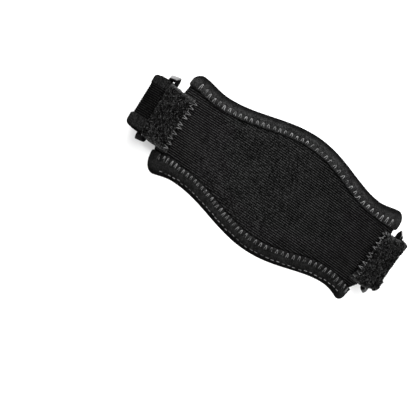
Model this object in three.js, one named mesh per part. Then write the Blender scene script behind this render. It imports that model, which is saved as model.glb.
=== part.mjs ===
// A tennis elbow strap: a bent padded base with a ribbed face panel and bound long edges, a webbing tab
// and a ring at each end, and a strap that closes the loop. Millimetres, +Z up.
// The loop lies on the flat of its strap with the pad arched above it. X runs along the pad, Y along the
// forearm that goes through the loop, and the origin is under the middle of the strap.
import * as THREE from "three";

// Padded base, bent about an axis along Y
const PAD_LENGTH = 181.4; // along the bent middle surface, corner to corner
const BEND_RADIUS = 114.7; // of the middle surface
const END_TRIM = 1.5; // the ends are cut this much short of the full corner round
const CORE_THICK = 3.2;
const CORE_SEWN_THICK = 1.4; // where the seams squeeze it
const PANEL_THICK = 0.9;
const BINDING_THICK = 0.9;
const GAP = 0.3; // between pieces that touch

// Half-widths of the outline, from the middle of the pad to its end
const OUTLINE = [
  { name: "bulge", at: 0, half: 42.2 },
  { name: "waist", at: 60.7, half: 31.7 },
  { name: "flare", at: 86.8, half: 35.2 },
];
const CORNER_RADIUS = { upper: 7.5, lower: 12 };
const CURL_FROM = 72; // the two lower corners turn under beyond this distance from the middle
const CURL_RADIUS = 24;
const CURL_BAND = { from: 16, full: 27 }; // they do so between these distances below the middle line
const SHORT_CORNER = 4; // the lower left corner ends this much short of the right one
const SHORT_FROM = 60; // drawn in along the pad from here
const SHORT_BAND = { from: 10, full: 22 }; // and between these distances below the middle line

// Borders, measured inwards from the outline: width of the bindings, on both faces, along the pad
const BINDING_WIDTH = [
  { at: -78, upper: 9.6, lower: 14 },
  { at: -58, upper: 8.8, lower: 10.8 },
  { at: 0, upper: 8.8, lower: 10 },
  { at: 40, upper: 9.6, lower: 11.2 },
  { at: 62, upper: 9.8, lower: 10 },
  { at: 80, upper: 12, lower: 10.8 },
];
const ROLL_DEPTH = 2.6; // the binding's edge is half an ellipse this deep
const ROLL_SHARE = 0.65; // and takes no more than this of the binding where a corner narrows it
const CORE_INSET = 1.7;
const PANEL_INSET = 3.2;
const SEAM_MARGIN = 0.8; // the core stays squeezed this far inside the binding's edge
const DIP_WIDTH = 5.5; // the panel falls towards the seam over this width
const EDGE_ROUND = 0.5;

// Webbing and rings
const WEBBING_WIDTH = 38;
const TAB_LAYER = 1.6; // one layer of the folded tab
const TAB_START = 74.4; // from the middle of the pad to the tab's sewn end
const TAB_LEAVE = 89.6; // where the tab leaves the pad
const TAB_EYE = 2.6; // radius of the tab's loose fold, inside
const EYE_REACH = 6.7; // from where the tab leaves to the middle of that fold
const REACH_ANGLE = THREE.MathUtils.degToRad(64.5); // of that stretch below the horizontal
const TAB_DRIFT = 1.2; // the fold sits this far along +Y of the sewn end
const BAR_HANG = 0.7; // the ring's inner bar hangs this far out of the middle of the fold
const RING_TILT = THREE.MathUtils.degToRad(62); // below the horizontal
const SPLAY = THREE.MathUtils.degToRad(5); // each ring leans this much, so the loop widens towards +Y
const RING_LENGTH = 47.6;
const RING_WIDTH = 11.5;
const RING_THICK = 3.4;
const RING_BAR = 2.8;
const RING_END = 3; // the bars at the two ends of the slot
const RING_CORNER = 1;
const RING_BEVEL = 0.8;
const RING_LIFT = 2.3; // the ring sits this far along +Y in its play on the webbing

// Strap: two layers where its ends are turned back outside it
const STRAP_LAYER = 1.8;
const STRAP_EYE = 2; // radius of its fold round a ring's outer bar, inside
const STRAP_LIFT = 2.5; // along +Y
const STRAP_TILT = THREE.MathUtils.degToRad(55); // where it leaves the ring
const STRAP_STRAIGHT = 6.2; // beyond the ring's outer bar
const STRAP_BEND = 16; // radius of its turn at each side
const LAP_END = { left: -48, right: -36 }; // x of the two turned-back ends, under the strap

// Sampling
const STATION_STEP = 5;
const CORNER_STEPS = 4;
const BORDER_STEPS = 3;
const ROLL_STEPS = 6;
const FOLD_STEPS = 16;
const BEND_STEPS = 14;
const TAB_STEPS = 5;

const HALF_LENGTH = PAD_LENGTH / 2;
const PANEL_TOP = CORE_THICK / 2 + GAP + PANEL_THICK;

// A column of a table at distance s, eased between its rows.
function columnAt(rows, s, column) {
  const next = rows.findIndex((row) => row.at > s);
  if (next < 0) return rows[rows.length - 1][column];
  const [from, to] = [rows[Math.max(next - 1, 0)], rows[next]];
  const share = from === to ? 0 : (s - from.at) / (to.at - from.at);
  return THREE.MathUtils.lerp(from[column], to[column], (1 - Math.cos(Math.PI * share)) / 2);
}

// Width that a rounded corner takes off the outline at distance s.
function cornerLoss(s, radius) {
  const into = Math.abs(s) - (HALF_LENGTH - radius);
  return into > 0 ? radius - Math.sqrt(radius ** 2 - into ** 2) : 0;
}

// The lines that run along one long side, as distances from the middle line at s.
function borderLines(s, side) {
  const half = columnAt(OUTLINE, Math.abs(s), "half");
  const edge = half - cornerLoss(s, CORNER_RADIUS[side]);
  const seam = half - columnAt(BINDING_WIDTH, s, side);
  return {
    edge,
    seam,
    squeezed: seam - SEAM_MARGIN,
    dip: seam - SEAM_MARGIN - DIP_WIDTH,
    roll: Math.min(ROLL_DEPTH, ROLL_SHARE * (edge - seam)),
    panelEnd: Math.max(edge - PANEL_INSET, seam),
  };
}

// Distances from the middle at which the pad's sections stand, closer together round the corners.
function stations() {
  const end = HALF_LENGTH - END_TRIM;
  const cornerStart = HALF_LENGTH - Math.max(CORNER_RADIUS.upper, CORNER_RADIUS.lower);
  const plain = Math.round(cornerStart / STATION_STEP);
  const half = [];
  for (let i = 1; i <= plain; i++) half.push((cornerStart * i) / plain);
  for (let i = 1; i <= CORNER_STEPS; i++) {
    const turn = (Math.PI / 2) * (i / CORNER_STEPS);
    half.push(THREE.MathUtils.lerp(cornerStart, end, Math.sin(turn)));
  }
  return [...half.map((s) => -s).reverse(), 0, ...half];
}

// Radius of the pad's bend at y beyond CURL_FROM.
function curlRadius(y) {
  const share = THREE.MathUtils.smoothstep(-y, CURL_BAND.from, CURL_BAND.full);
  return 1 / THREE.MathUtils.lerp(1 / BEND_RADIUS, 1 / CURL_RADIUS, share);
}

// Distance along the pad at which a point of its even outline lies, its lower left corner drawn in.
function drawnIn(s, y) {
  const share = THREE.MathUtils.smoothstep(-y, SHORT_BAND.from, SHORT_BAND.full);
  return s + SHORT_CORNER * share * THREE.MathUtils.smoothstep(-s, SHORT_FROM, HALF_LENGTH);
}

// A point of the bent pad: s along it, y across it, n out from its middle surface. The axis of the bend
// is the Y axis, but for the corners that turn under.
function onBend(s, y, n) {
  const along = drawnIn(s, y);
  const plain = THREE.MathUtils.clamp(along, -CURL_FROM, CURL_FROM);
  const radius = along === plain ? BEND_RADIUS : curlRadius(y);
  const from = plain / BEND_RADIUS;
  const turn = from + (along - plain) / radius;
  const offset = BEND_RADIUS - radius;
  const reach = radius + n;
  const x = offset * Math.sin(from) + reach * Math.sin(turn);
  const z = offset * Math.cos(from) + reach * Math.cos(turn);
  return new THREE.Vector3(x, y, z);
}

// A closed solid through one section per station. A section is a ring of points (y, n). Each quad is cut
// from its higher y at one station to its lower y at the next, so that faces on each other are cut alike.
function loftOnBend(sectionAt) {
  const along = stations();
  const sections = along.map((s) => {
    const ring = sectionAt(s).map(([y, n]) => new THREE.Vector2(y, n));
    return THREE.ShapeUtils.isClockWise(ring) ? ring.reverse() : ring;
  });
  const size = sections[0].length;
  const points = sections.flatMap((ring, i) => ring.map((p) => onBend(along[i], p.x, p.y)));
  const index = [];
  for (let i = 0; i + 1 < along.length; i++) {
    for (let j = 0; j < size; j++) {
      const [a, b] = [i * size + j, i * size + ((j + 1) % size)];
      const [c, d] = [a + size, b + size];
      const falls = points[a].y > points[b].y;
      index.push(...(falls ? [a, b, d, a, d, c] : [a, b, c, b, d, c]));
    }
  }
  const last = (along.length - 1) * size;
  for (const [a, b, c] of THREE.ShapeUtils.triangulateShape(sections[0], [])) index.push(a, c, b);
  for (const [a, b, c] of THREE.ShapeUtils.triangulateShape(sections[along.length - 1], [])) {
    index.push(last + a, last + b, last + c);
  }
  const geometry = new THREE.BufferGeometry().setFromPoints(points);
  geometry.setIndex(index);
  geometry.computeVertexNormals();
  return geometry;
}

// A whole section from the same half-profile on both sides, each running from the face to the back.
function bothSides(s, profile) {
  const upper = profile(borderLines(s, "upper"));
  const lower = profile(borderLines(s, "lower"));
  return [...upper, ...lower.map(([y, n]) => [-y, n]).reverse()];
}

// Points at one height across a border, between two distances from the middle line.
function across(from, to, n) {
  return Array.from({ length: BORDER_STEPS + 1 }, (_, i) => [
    THREE.MathUtils.lerp(from, to, i / BORDER_STEPS),
    n,
  ]);
}

// Soft core, squeezed thin along its long edges.
function coreProfile({ edge, panelEnd, squeezed, dip }) {
  const full = CORE_THICK / 2;
  const sewn = CORE_SEWN_THICK / 2;
  const tip = edge - CORE_INSET;
  const rim = panelEnd - EDGE_ROUND;
  return [
    [dip, full],
    ...across(squeezed, rim, sewn),
    [tip - EDGE_ROUND, sewn],
    [tip, 0],
    [tip - EDGE_ROUND, -sewn],
    ...across(rim, squeezed, -sewn),
    [dip, -full],
  ];
}

// Face panel, lying on the core and reaching under the bindings.
function panelProfile({ panelEnd, squeezed, dip }) {
  const under = CORE_THICK / 2 + GAP;
  const sewnUnder = CORE_SEWN_THICK / 2 + GAP;
  const rim = panelEnd - EDGE_ROUND;
  return [
    [dip, under + PANEL_THICK],
    ...across(squeezed, rim, sewnUnder + PANEL_THICK),
    [panelEnd, sewnUnder + PANEL_THICK / 2],
    ...across(rim, squeezed, sewnUnder),
    [dip, under],
  ];
}

// Binding: a tape from the face round the long edge to the back.
function bindingSection({ edge, seam, roll }) {
  const face = CORE_SEWN_THICK / 2 + 2 * GAP + PANEL_THICK;
  const rear = -CORE_SEWN_THICK / 2 - GAP;
  const middle = (face + rear) / 2;
  const innerHalf = (face - rear) / 2;
  const halfEllipse = (depth, half) =>
    Array.from({ length: ROLL_STEPS + 1 }, (_, i) => {
      const turn = Math.PI / 2 - (Math.PI * i) / ROLL_STEPS;
      return [edge - roll + depth * Math.cos(turn), middle + half * Math.sin(turn)];
    });
  const outer = halfEllipse(roll, innerHalf + BINDING_THICK);
  const inner = halfEllipse(roll - BINDING_THICK, innerHalf).reverse();
  const start = edge - roll;
  return [
    [seam, face + BINDING_THICK - EDGE_ROUND],
    ...across(seam + EDGE_ROUND, start, face + BINDING_THICK).slice(0, -1),
    ...outer,
    ...across(start, seam, rear - BINDING_THICK).slice(1),
    ...across(seam, start, rear).slice(0, -1),
    ...inner,
    ...across(start, seam, face).slice(1),
  ];
}

// A point at an angle from +Z towards +X round a centre, in the plane of the loop (x, z).
function polar(centre, radius, angle) {
  return new THREE.Vector2(centre.x + radius * Math.sin(angle), centre.y + radius * Math.cos(angle));
}

function arc(centre, radius, from, to, steps) {
  return Array.from({ length: steps + 1 }, (_, i) =>
    polar(centre, radius, THREE.MathUtils.lerp(from, to, i / steps)),
  );
}

// Angle round a circle's centre at which a line from an outside point touches it, on the side given.
function touchAngle(point, centre, radius, side) {
  const towards = Math.atan2(point.x - centre.x, point.y - centre.y);
  return towards + side * Math.acos(radius / point.distanceTo(centre));
}

// A step of a given length in the plane of the loop, at an angle below +X.
function stepDown(from, length, angle) {
  return new THREE.Vector2(from.x + length * Math.cos(angle), from.y - length * Math.sin(angle));
}

// Places in the plane of the loop, right side, about the axis of the bend
const BEND_AXIS = new THREE.Vector2(0, 0);
const TAB_INNER = BEND_RADIUS + PANEL_TOP + GAP;
const LEAVE_ANGLE = TAB_LEAVE / BEND_RADIUS;
const tabLeaves = polar(BEND_AXIS, TAB_INNER + TAB_LAYER, LEAVE_ANGLE);
const tabEye = stepDown(tabLeaves, EYE_REACH, REACH_ANGLE);
const innerBar = stepDown(tabEye, BAR_HANG, RING_TILT);
const ringCentre = stepDown(innerBar, (RING_WIDTH - RING_BAR) / 2, RING_TILT);
const outerBar = stepDown(innerBar, RING_WIDTH - RING_BAR, RING_TILT);
const turnStart = stepDown(outerBar, STRAP_STRAIGHT, STRAP_TILT);
const turnCentre = polar(turnStart, -STRAP_BEND, STRAP_TILT);
const AXIS_HEIGHT = STRAP_BEND + STRAP_LAYER - turnCentre.y; // of the bend's axis above the floor

// A place at y, moved the way the splayed ring leans there.
function splayed(place, y) {
  return stepDown(place, (y - RING_LIFT) * Math.tan(SPLAY), RING_TILT);
}

// A band of webbing between its two selvedges. sectionAt(y) gives the rings of points of its outline and
// of its eyes, as many at both selvedges.
function webbing(sectionAt) {
  const flat = (ring) => ring.map((p) => new THREE.Vector2(p.x, p.z));
  const turned = (ring, i) => (THREE.ShapeUtils.isClockWise(flat(ring)) === i > 0 ? ring : ring.reverse());
  const [near, far] = [-WEBBING_WIDTH / 2, WEBBING_WIDTH / 2].map((y) => sectionAt(y).map(turned));
  const size = near.flat().length;
  const [outline, ...eyes] = near.map(flat);
  const index = [];
  for (const [a, b, c] of THREE.ShapeUtils.triangulateShape(outline, eyes)) {
    index.push(a, b, c, size + a, size + c, size + b);
  }
  let first = 0;
  for (const ring of near) {
    for (let i = 0; i < ring.length; i++) {
      const [a, b] = [first + i, first + ((i + 1) % ring.length)];
      index.push(a, a + size, b, b, a + size, b + size);
    }
    first += ring.length;
  }
  const solid = new THREE.BufferGeometry().setFromPoints([...near.flat(), ...far.flat()]);
  solid.setIndex(index);
  solid.computeVertexNormals();
  return solid;
}

function atY(points, y) {
  return points.map((p) => new THREE.Vector3(p.x, y, p.y));
}

function onSide(points, side) {
  return points.map((p) => p.clone().setX(side * p.x));
}

function eyeAt(centre, radius) {
  return arc(centre, radius, 0, 2 * Math.PI, FOLD_STEPS).slice(1);
}

// Tab: a tongue of two layers on the pad's face, opening into a loose eye round the ring's inner bar.
function tabGeometry(side) {
  const fold = TAB_EYE + TAB_LAYER;
  const start = TAB_START / BEND_RADIUS;
  const under = arc(BEND_AXIS, TAB_INNER, start, LEAVE_ANGLE, TAB_STEPS);
  const over = arc(BEND_AXIS, TAB_INNER + 2 * TAB_LAYER, LEAVE_ANGLE, start, TAB_STEPS);
  return webbing((y) => {
    const drifted = y + TAB_DRIFT;
    const eye = splayed(tabEye, drifted);
    const from = touchAngle(under[TAB_STEPS], eye, fold, -1);
    const to = touchAngle(over[0], eye, fold, 1) - 2 * Math.PI;
    const round = arc(eye, fold, from, to, FOLD_STEPS);
    const outline = [...atY(under, y), ...atY(round, drifted), ...atY(over, y)];
    return [outline, atY(eyeAt(eye, TAB_EYE), drifted)].map((ring) => onSide(ring, side));
  });
}

// One end of the strap, from its inner face to its outer face: the turn, then the fold round the ring.
function strapEnd(bar, turn) {
  const fold = STRAP_EYE + STRAP_LAYER;
  const inside = arc(turn, STRAP_BEND - STRAP_LAYER, Math.PI, STRAP_TILT, BEND_STEPS);
  const outside = arc(turn, STRAP_BEND + STRAP_LAYER, STRAP_TILT, Math.PI, BEND_STEPS);
  const from = touchAngle(inside[BEND_STEPS], bar, fold, 1);
  const to = touchAngle(outside[0], bar, fold, -1) + 2 * Math.PI;
  return [...inside, ...arc(bar, fold, from, to, FOLD_STEPS), ...outside];
}

function strapGeometry() {
  const floor = turnCentre.y - STRAP_BEND - STRAP_LAYER;
  const between = floor + STRAP_LAYER;
  const laps = [
    new THREE.Vector2(LAP_END.right, floor),
    new THREE.Vector2(LAP_END.right, between),
    new THREE.Vector2(LAP_END.left, between),
    new THREE.Vector2(LAP_END.left, floor),
  ];
  return webbing((selvedge) => {
    const y = selvedge + STRAP_LIFT;
    const bar = splayed(outerBar, y);
    const end = strapEnd(bar, splayed(turnCentre, y).setY(turnCentre.y));
    const outline = [...end, ...laps, ...onSide(end, -1).reverse()];
    const eye = eyeAt(bar, STRAP_EYE);
    return [outline, eye, onSide(eye, -1)].map((ring) => atY(ring, y));
  });
}

// A rectangle with rounded corners, centred.
function roundedRectangle(path, width, length, radius) {
  const [x, y] = [width / 2 - radius, length / 2 - radius];
  path.absarc(x, y, radius, 0, Math.PI / 2);
  path.absarc(-x, y, radius, Math.PI / 2, Math.PI);
  path.absarc(-x, -y, radius, Math.PI, 1.5 * Math.PI);
  path.absarc(x, -y, radius, 1.5 * Math.PI, 2 * Math.PI);
  return path;
}

// Ring: a moulded rectangle with a slot for the two folds of webbing.
function ringGeometry() {
  const shape = roundedRectangle(new THREE.Shape(), RING_WIDTH, RING_LENGTH, RING_CORNER);
  const slot = [RING_WIDTH - 2 * RING_BAR, RING_LENGTH - 2 * RING_END];
  shape.holes.push(roundedRectangle(new THREE.Path(), ...slot, RING_CORNER));
  const ring = new THREE.ExtrudeGeometry(shape, {
    depth: RING_THICK - 2 * RING_BEVEL,
    bevelThickness: RING_BEVEL,
    bevelSize: RING_BEVEL,
    bevelOffset: -RING_BEVEL,
    bevelSegments: 2,
    curveSegments: 4,
  });
  return ring.translate(0, 0, RING_BEVEL - RING_THICK / 2);
}

const foam = () => new THREE.MeshStandardMaterial({ color: 0x1c1c1e, roughness: 0.95, metalness: 0 });
const ribbed = () => new THREE.MeshStandardMaterial({ color: 0x131315, roughness: 0.9, metalness: 0 });
const tape = () => new THREE.MeshStandardMaterial({ color: 0x242426, roughness: 0.85, metalness: 0 });
const pile = () => new THREE.MeshStandardMaterial({ color: 0x161617, roughness: 1, metalness: 0 });
const elastic = () => new THREE.MeshStandardMaterial({ color: 0x151517, roughness: 0.9, metalness: 0 });
const plastic = () => new THREE.MeshStandardMaterial({ color: 0x0b0b0c, roughness: 0.2, metalness: 0 });

const loop = new THREE.Group();
loop.position.z = AXIS_HEIGHT;

function add(name, geometry, material) {
  const mesh = new THREE.Mesh(geometry, material);
  mesh.name = name;
  loop.add(mesh);
  return mesh;
}

add("pad", loftOnBend((s) => bothSides(s, coreProfile)), foam());
add("face_panel", loftOnBend((s) => bothSides(s, panelProfile)), ribbed());
for (const [side, sign] of [["upper", 1], ["lower", -1]]) {
  const section = (s) => bindingSection(borderLines(s, side)).map(([y, n]) => [sign * y, n]);
  add(`binding_${side}`, loftOnBend(section), tape());
}
for (const [side, sign] of [["left", -1], ["right", 1]]) {
  add(`tab_${side}`, tabGeometry(sign), pile());
  const ring = add(`ring_${side}`, ringGeometry(), plastic());
  ring.position.set(sign * ringCentre.x, RING_LIFT, ringCentre.y);
  ring.rotation.set(0, sign * RING_TILT, -sign * SPLAY, "YXZ");
}
add("strap", strapGeometry(), elastic());

const part = new THREE.Group();
part.add(loop);

export default part;
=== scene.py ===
"""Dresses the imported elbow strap: ribbed panel, bound wavy edges, zigzag seams, pile tabs, rings and strap.

Sizes are in millimetres and follow the CAD part's; meshes are written in metres.
"""

import logging
import math
from dataclasses import dataclass, replace
from enum import Enum
from typing import Iterable, NamedTuple, Sequence

import bpy
import numpy as np
from mathutils import Matrix, Vector


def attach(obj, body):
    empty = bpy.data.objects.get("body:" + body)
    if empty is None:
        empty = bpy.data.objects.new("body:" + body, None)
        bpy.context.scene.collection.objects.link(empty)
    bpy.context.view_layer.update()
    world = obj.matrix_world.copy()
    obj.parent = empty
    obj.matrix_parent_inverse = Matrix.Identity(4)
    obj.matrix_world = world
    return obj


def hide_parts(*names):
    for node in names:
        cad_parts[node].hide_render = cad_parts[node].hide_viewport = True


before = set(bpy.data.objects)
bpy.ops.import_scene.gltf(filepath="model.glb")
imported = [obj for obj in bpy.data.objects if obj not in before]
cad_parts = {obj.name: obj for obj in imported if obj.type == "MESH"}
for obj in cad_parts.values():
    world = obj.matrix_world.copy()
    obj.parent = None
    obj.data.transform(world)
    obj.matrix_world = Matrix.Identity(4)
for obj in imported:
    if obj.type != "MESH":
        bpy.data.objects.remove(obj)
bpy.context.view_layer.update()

MM = 0.001
ROOT = "root"
WAVE_PERIOD = math.pi / 10  # of a Wave Texture at scale 1, in texture units
EDGE_SHADE = 0.7  # painted shade: ribbed sheets are darker by this share at their edges
EDGE_SHADE_FROM = 0.2  # and clear up between these distances in from them
EDGE_SHADE_TO = 1.6
SELVEDGE_LEAST = 0.08  # least square of the share of a band's thickness that is left at its selvedges
HELPER_FIELDS = ("across", "up", "mask", "leg", "density")  # mesh values that only the node trees read
Array = np.ndarray
Material = bpy.types.Material
Mesh = bpy.types.Mesh
Piece = bpy.types.Object
Socket = bpy.types.NodeSocket
log = logging.getLogger("elbow_strap")


class Labelled(Enum):
    """A choice whose name stands in the names of pieces."""

    @property
    def label(self) -> str:
        """Its name as pieces carry it."""
        return self.name.lower()


class Edge(Labelled):
    """The two long edges of the pad; the value is the sign of y."""

    UPPER = 1
    LOWER = -1


class End(Labelled):
    """The two ends of the pad; the value is the sign of x."""

    LEFT = -1
    RIGHT = 1


class Slot(Enum):
    """The record's material slots."""

    FOAM = "pad_foam"
    RIBBED = "ribbed_elastic"
    TAPE = "binding_tape"
    PILE = "loop_pile"
    STRAP = "strap_elastic"
    PLASTIC = "ring_plastic"


def polar(centre: Sequence[float], radius: float, angle: Array | float) -> Array:
    """x and z of points round a centre, at one angle or several in radians from +Z towards +X."""
    return np.stack([centre[0] + radius * np.sin(angle), centre[1] + radius * np.cos(angle)], -1)


def step_down(start: Sequence[float], length: float, angle: float) -> Array:
    """x and z where a step from a start ends, its angle in radians below +X."""
    return np.array([start[0] + length * math.cos(angle), start[1] - length * math.sin(angle)])


def touch_angle(point: Array, centre: Array, radius: float, side: int) -> float:
    """Angle from +Z where one of the two lines (side 1 or -1) from an outside point touches a circle."""
    away = point - centre
    return math.atan2(away[0], away[1]) + side * math.acos(radius / np.hypot(*away))


def distances_along(line: Array) -> Array:
    """Distance of each point of a line from its first point, along the line."""
    return np.concatenate([[0], np.cumsum(np.linalg.norm(np.diff(line, axis=0), axis=1))])


def evenly(line: Array, spacing: float) -> Array:
    """A line of points laid out again at even steps.

    Args:
        line: points along the line, one a row.
        spacing: the step to aim at.

    Returns:
        The new points, with the same two ends.
    """
    along = distances_along(line)
    places = np.linspace(0, along[-1], max(2, round(along[-1] / spacing)) + 1)
    return np.stack([np.interp(places, along, column) for column in line.T], -1)


def softened(line: Array, rounds: int) -> Array:
    """A line with its kinks eased, its ends held.

    Args:
        line: points along the line.
        rounds: how often each point moves towards its neighbours.

    Returns:
        The eased points.
    """
    points = line.copy()
    for _ in range(rounds):
        points[1:-1] = 0.5 * points[1:-1] + 0.25 * (points[:-2] + points[2:])
    return points


def left_normals(line: Array) -> Array:
    """Unit normals of a line in the plane of the loop.

    Args:
        line: x, y and z of its points.

    Returns:
        x, y and z of the normals, to the left of its run as seen from -Y.
    """
    run = np.gradient(line[:, [0, 2]], axis=0)
    normals = np.stack([-run[:, 1], np.zeros(len(line)), run[:, 0]], -1)
    return normals / np.linalg.norm(normals, axis=1, keepdims=True)


def smooth_step(value: Array, low: float, high: float) -> Array:
    """0 below low, 1 above high, eased between."""
    share = np.clip((value - low) / (high - low), 0, 1)
    return share * share * (3 - 2 * share)


def eased(s: Array, places: Sequence[float], values: Sequence[float]) -> Array:
    """Values at s, eased from each place to the next.

    Args:
        s: distances along.
        places: rising distances where the values are given.
        values: one for each place.

    Returns:
        One value for each s.
    """
    places, values = np.asarray(places, float), np.asarray(values, float)
    row = np.clip(np.searchsorted(places, s, side="right") - 1, 0, len(places) - 2)
    share = np.clip((s - places[row]) / (places[row + 1] - places[row]), 0, 1)
    return values[row] + (values[row + 1] - values[row]) * (0.5 - 0.5 * np.cos(np.pi * share))


def edge_shade(inward: Array) -> Array:
    """How much painted shade darkens a ribbed sheet at a distance in from its edge."""
    return EDGE_SHADE - EDGE_SHADE * smooth_step(inward, EDGE_SHADE_FROM, EDGE_SHADE_TO)


@dataclass(frozen=True)
class PadBend:
    """The cylinder, along Y, that the pad is bent round, and how the pad's corners depart from it."""

    radius: float
    axis_height: float
    curl_from: float = 72.0  # the two lower corners turn under beyond this distance from the middle
    curl_radius: float = 24.0
    curl_starts: float = 16.0  # and set in between these distances below the middle line
    curl_full: float = 27.0
    short_corner: float = 4.0  # the lower left corner ends this much short of the right one
    short_from: float = 60.0  # drawn in between these distances along the pad
    short_full: float = 90.7
    short_starts: float = 10.0  # and below the middle line
    short_stops: float = 22.0

    def turns(self, s: Array, y: Array) -> tuple[Array, Array, Array]:
        """How the pad is bent.

        Args:
            s: distance along the middle surface from its middle.
            y: distance across.

        Returns:
            The angle up to the curl, the radius there and the whole angle.
        """
        drawn = smooth_step(-y, self.short_starts, self.short_stops)
        along = s + self.short_corner * drawn * smooth_step(-s, self.short_from, self.short_full)
        plain = np.clip(along, -self.curl_from, self.curl_from)
        share = smooth_step(-y, self.curl_starts, self.curl_full) * (along != plain)
        radius = 1 / ((1 - share) / self.radius + share / self.curl_radius)
        return plain / self.radius, radius, plain / self.radius + (along - plain) / radius

    def place(self, s: Array, y: Array, n: Array) -> Array:
        """Points of the bent pad.

        Args:
            s: distance along the middle surface from its middle.
            y: distance across.
            n: height above the middle surface.

        Returns:
            x, y and z along the last axis.
        """
        s, y, n = np.broadcast_arrays(s, y, n)
        plain, radius, turn = self.turns(s, y)
        offset, reach = self.radius - radius, radius + n
        x = offset * np.sin(plain) + reach * np.sin(turn)
        z = offset * np.cos(plain) + reach * np.cos(turn)
        return np.stack([x, y, self.axis_height + z], -1)

    def outward(self, s: Array, y: Array) -> Array:
        """Unit vectors out of the bend at s and y."""
        turn = self.turns(*np.broadcast_arrays(s, y))[2]
        return np.stack([np.sin(turn), np.zeros_like(turn), np.cos(turn)], -1)


@dataclass(frozen=True)
class LoopPlan:
    """Where the bend, the tabs' folds, the rings and the strap's turns lie, as the CAD part has them."""

    bend_radius: float = 114.7
    tab_inner: float = 3.1  # height of the tab's underside above the middle surface
    tab_layer: float = 1.6
    tab_start: float = 74.4
    tab_leave: float = 89.6
    tab_eye_radius: float = 2.6
    eye_reach: float = 6.7
    reach_angle: float = math.radians(64.5)
    tab_drift: float = 1.2
    bar_hang: float = 0.7
    ring_tilt: float = math.radians(62)
    splay: float = math.radians(5)
    ring_width: float = 11.5
    ring_bar: float = 2.8
    ring_lift: float = 2.3
    webbing_width: float = 38.0
    strap_layer: float = 1.8
    strap_eye_radius: float = 2.0
    strap_lift: float = 2.5
    strap_tilt: float = math.radians(55)
    strap_straight: float = 6.2
    strap_bend: float = 16.0

    @property
    def leave_angle(self) -> float:
        """Angle round the bend at which the tab leaves the pad."""
        return self.tab_leave / self.bend_radius

    @property
    def tab_eye(self) -> Array:
        """Middle of the tab's fold, from the bend's axis."""
        leaves = polar((0, 0), self.bend_radius + self.tab_inner + self.tab_layer, self.leave_angle)
        return step_down(leaves, self.eye_reach, self.reach_angle)

    @property
    def inner_bar(self) -> Array:
        """Middle of the ring's inner bar, from the bend's axis."""
        return step_down(self.tab_eye, self.bar_hang, self.ring_tilt)

    @property
    def ring_centre(self) -> Array:
        """Middle of the ring, from the bend's axis."""
        return step_down(self.inner_bar, (self.ring_width - self.ring_bar) / 2, self.ring_tilt)

    @property
    def outer_bar(self) -> Array:
        """Middle of the ring's outer bar, from the bend's axis."""
        return step_down(self.inner_bar, self.ring_width - self.ring_bar, self.ring_tilt)

    @property
    def turn_centre(self) -> Array:
        """Middle of the strap's turn, from the bend's axis."""
        start = step_down(self.outer_bar, self.strap_straight, self.strap_tilt)
        return polar(start, -self.strap_bend, self.strap_tilt)

    @property
    def axis_height(self) -> float:
        """Height of the bend's axis above the floor."""
        return self.strap_bend + self.strap_layer - self.turn_centre[1]

    @property
    def bend(self) -> PadBend:
        """The pad's bend, standing on the floor."""
        return PadBend(self.bend_radius, self.axis_height)

    def splayed(self, place: Array, y: float) -> Array:
        """A place moved the way the leaning ring takes it at y."""
        return step_down(place, (y - self.ring_lift) * math.tan(self.splay), self.ring_tilt)


class BindingRow(NamedTuple):
    """Widths of the two bindings at a distance along the pad."""

    at: float
    upper: float
    lower: float


BINDING_ROWS = (
    BindingRow(-78, 9.6, 14.0),
    BindingRow(-58, 8.8, 10.8),
    BindingRow(0, 8.8, 10.0),
    BindingRow(40, 9.6, 11.2),
    BindingRow(62, 9.8, 10.0),
    BindingRow(80, 12.0, 10.8),
)


@dataclass(frozen=True)
class PadOutline:
    """The wavy outline of the pad and the lines that follow it."""

    half_length: float = 90.7
    end: float = 89.2
    bulge: float = 42.2
    waist: float = 31.7
    waist_at: float = 60.7
    flare: float = 35.2
    flare_at: float = 86.8
    upper_corner: float = 7.5
    lower_corner: float = 12.0
    roll_depth: float = 2.6
    roll_share: float = 0.65

    def places(self, count: int) -> Array:
        """Even distances along the pad from end to end, one a row."""
        return np.linspace(-self.end, self.end, count)[:, None]

    def half_width(self, s: Array) -> Array:
        """Half-width at s, before the corners are rounded."""
        places = (0.0, self.waist_at, self.flare_at)
        return eased(np.abs(s), places, (self.bulge, self.waist, self.flare))

    def seam(self, s: Array, side: Edge) -> Array:
        """Distance from the middle line to one binding's inner edge at s."""
        widths = [row.upper if side is Edge.UPPER else row.lower for row in BINDING_ROWS]
        return self.half_width(s) - eased(s, [row.at for row in BINDING_ROWS], widths)

    def seam_beside(self, s: Array, y: Array) -> Array:
        """Distance from the middle line to the inner edge of the binding on the side that y is on."""
        return np.where(y > 0, self.seam(s, Edge.UPPER), self.seam(s, Edge.LOWER))

    def edge(self, s: Array, side: Edge) -> Array:
        """Distance from the middle line to the outline at s, corners rounded.

        Args:
            s: distances along the pad.
            side: which long edge.

        Returns:
            The distances from the middle line.
        """
        radius = self.upper_corner if side is Edge.UPPER else self.lower_corner
        into = np.clip(np.abs(s) - (self.half_length - radius), 0, radius)
        return self.half_width(s) - (radius - np.sqrt(radius**2 - into**2))

    def roll(self, s: Array, side: Edge) -> Array:
        """Depth of the binding's rolled edge at s."""
        return np.minimum(self.roll_depth, self.roll_share * (self.edge(s, side) - self.seam(s, side)))


def grid_quads(rows: int, columns: int, start: int = 0) -> Array:
    """Quads of a grid of vertices, four vertex numbers a row; its first vertex has the number start."""
    first = start + np.arange(rows - 1)[:, None] * columns + np.arange(columns - 1)
    return np.stack([first, first + 1, first + columns + 1, first + columns], -1).reshape(-1, 4)


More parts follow.
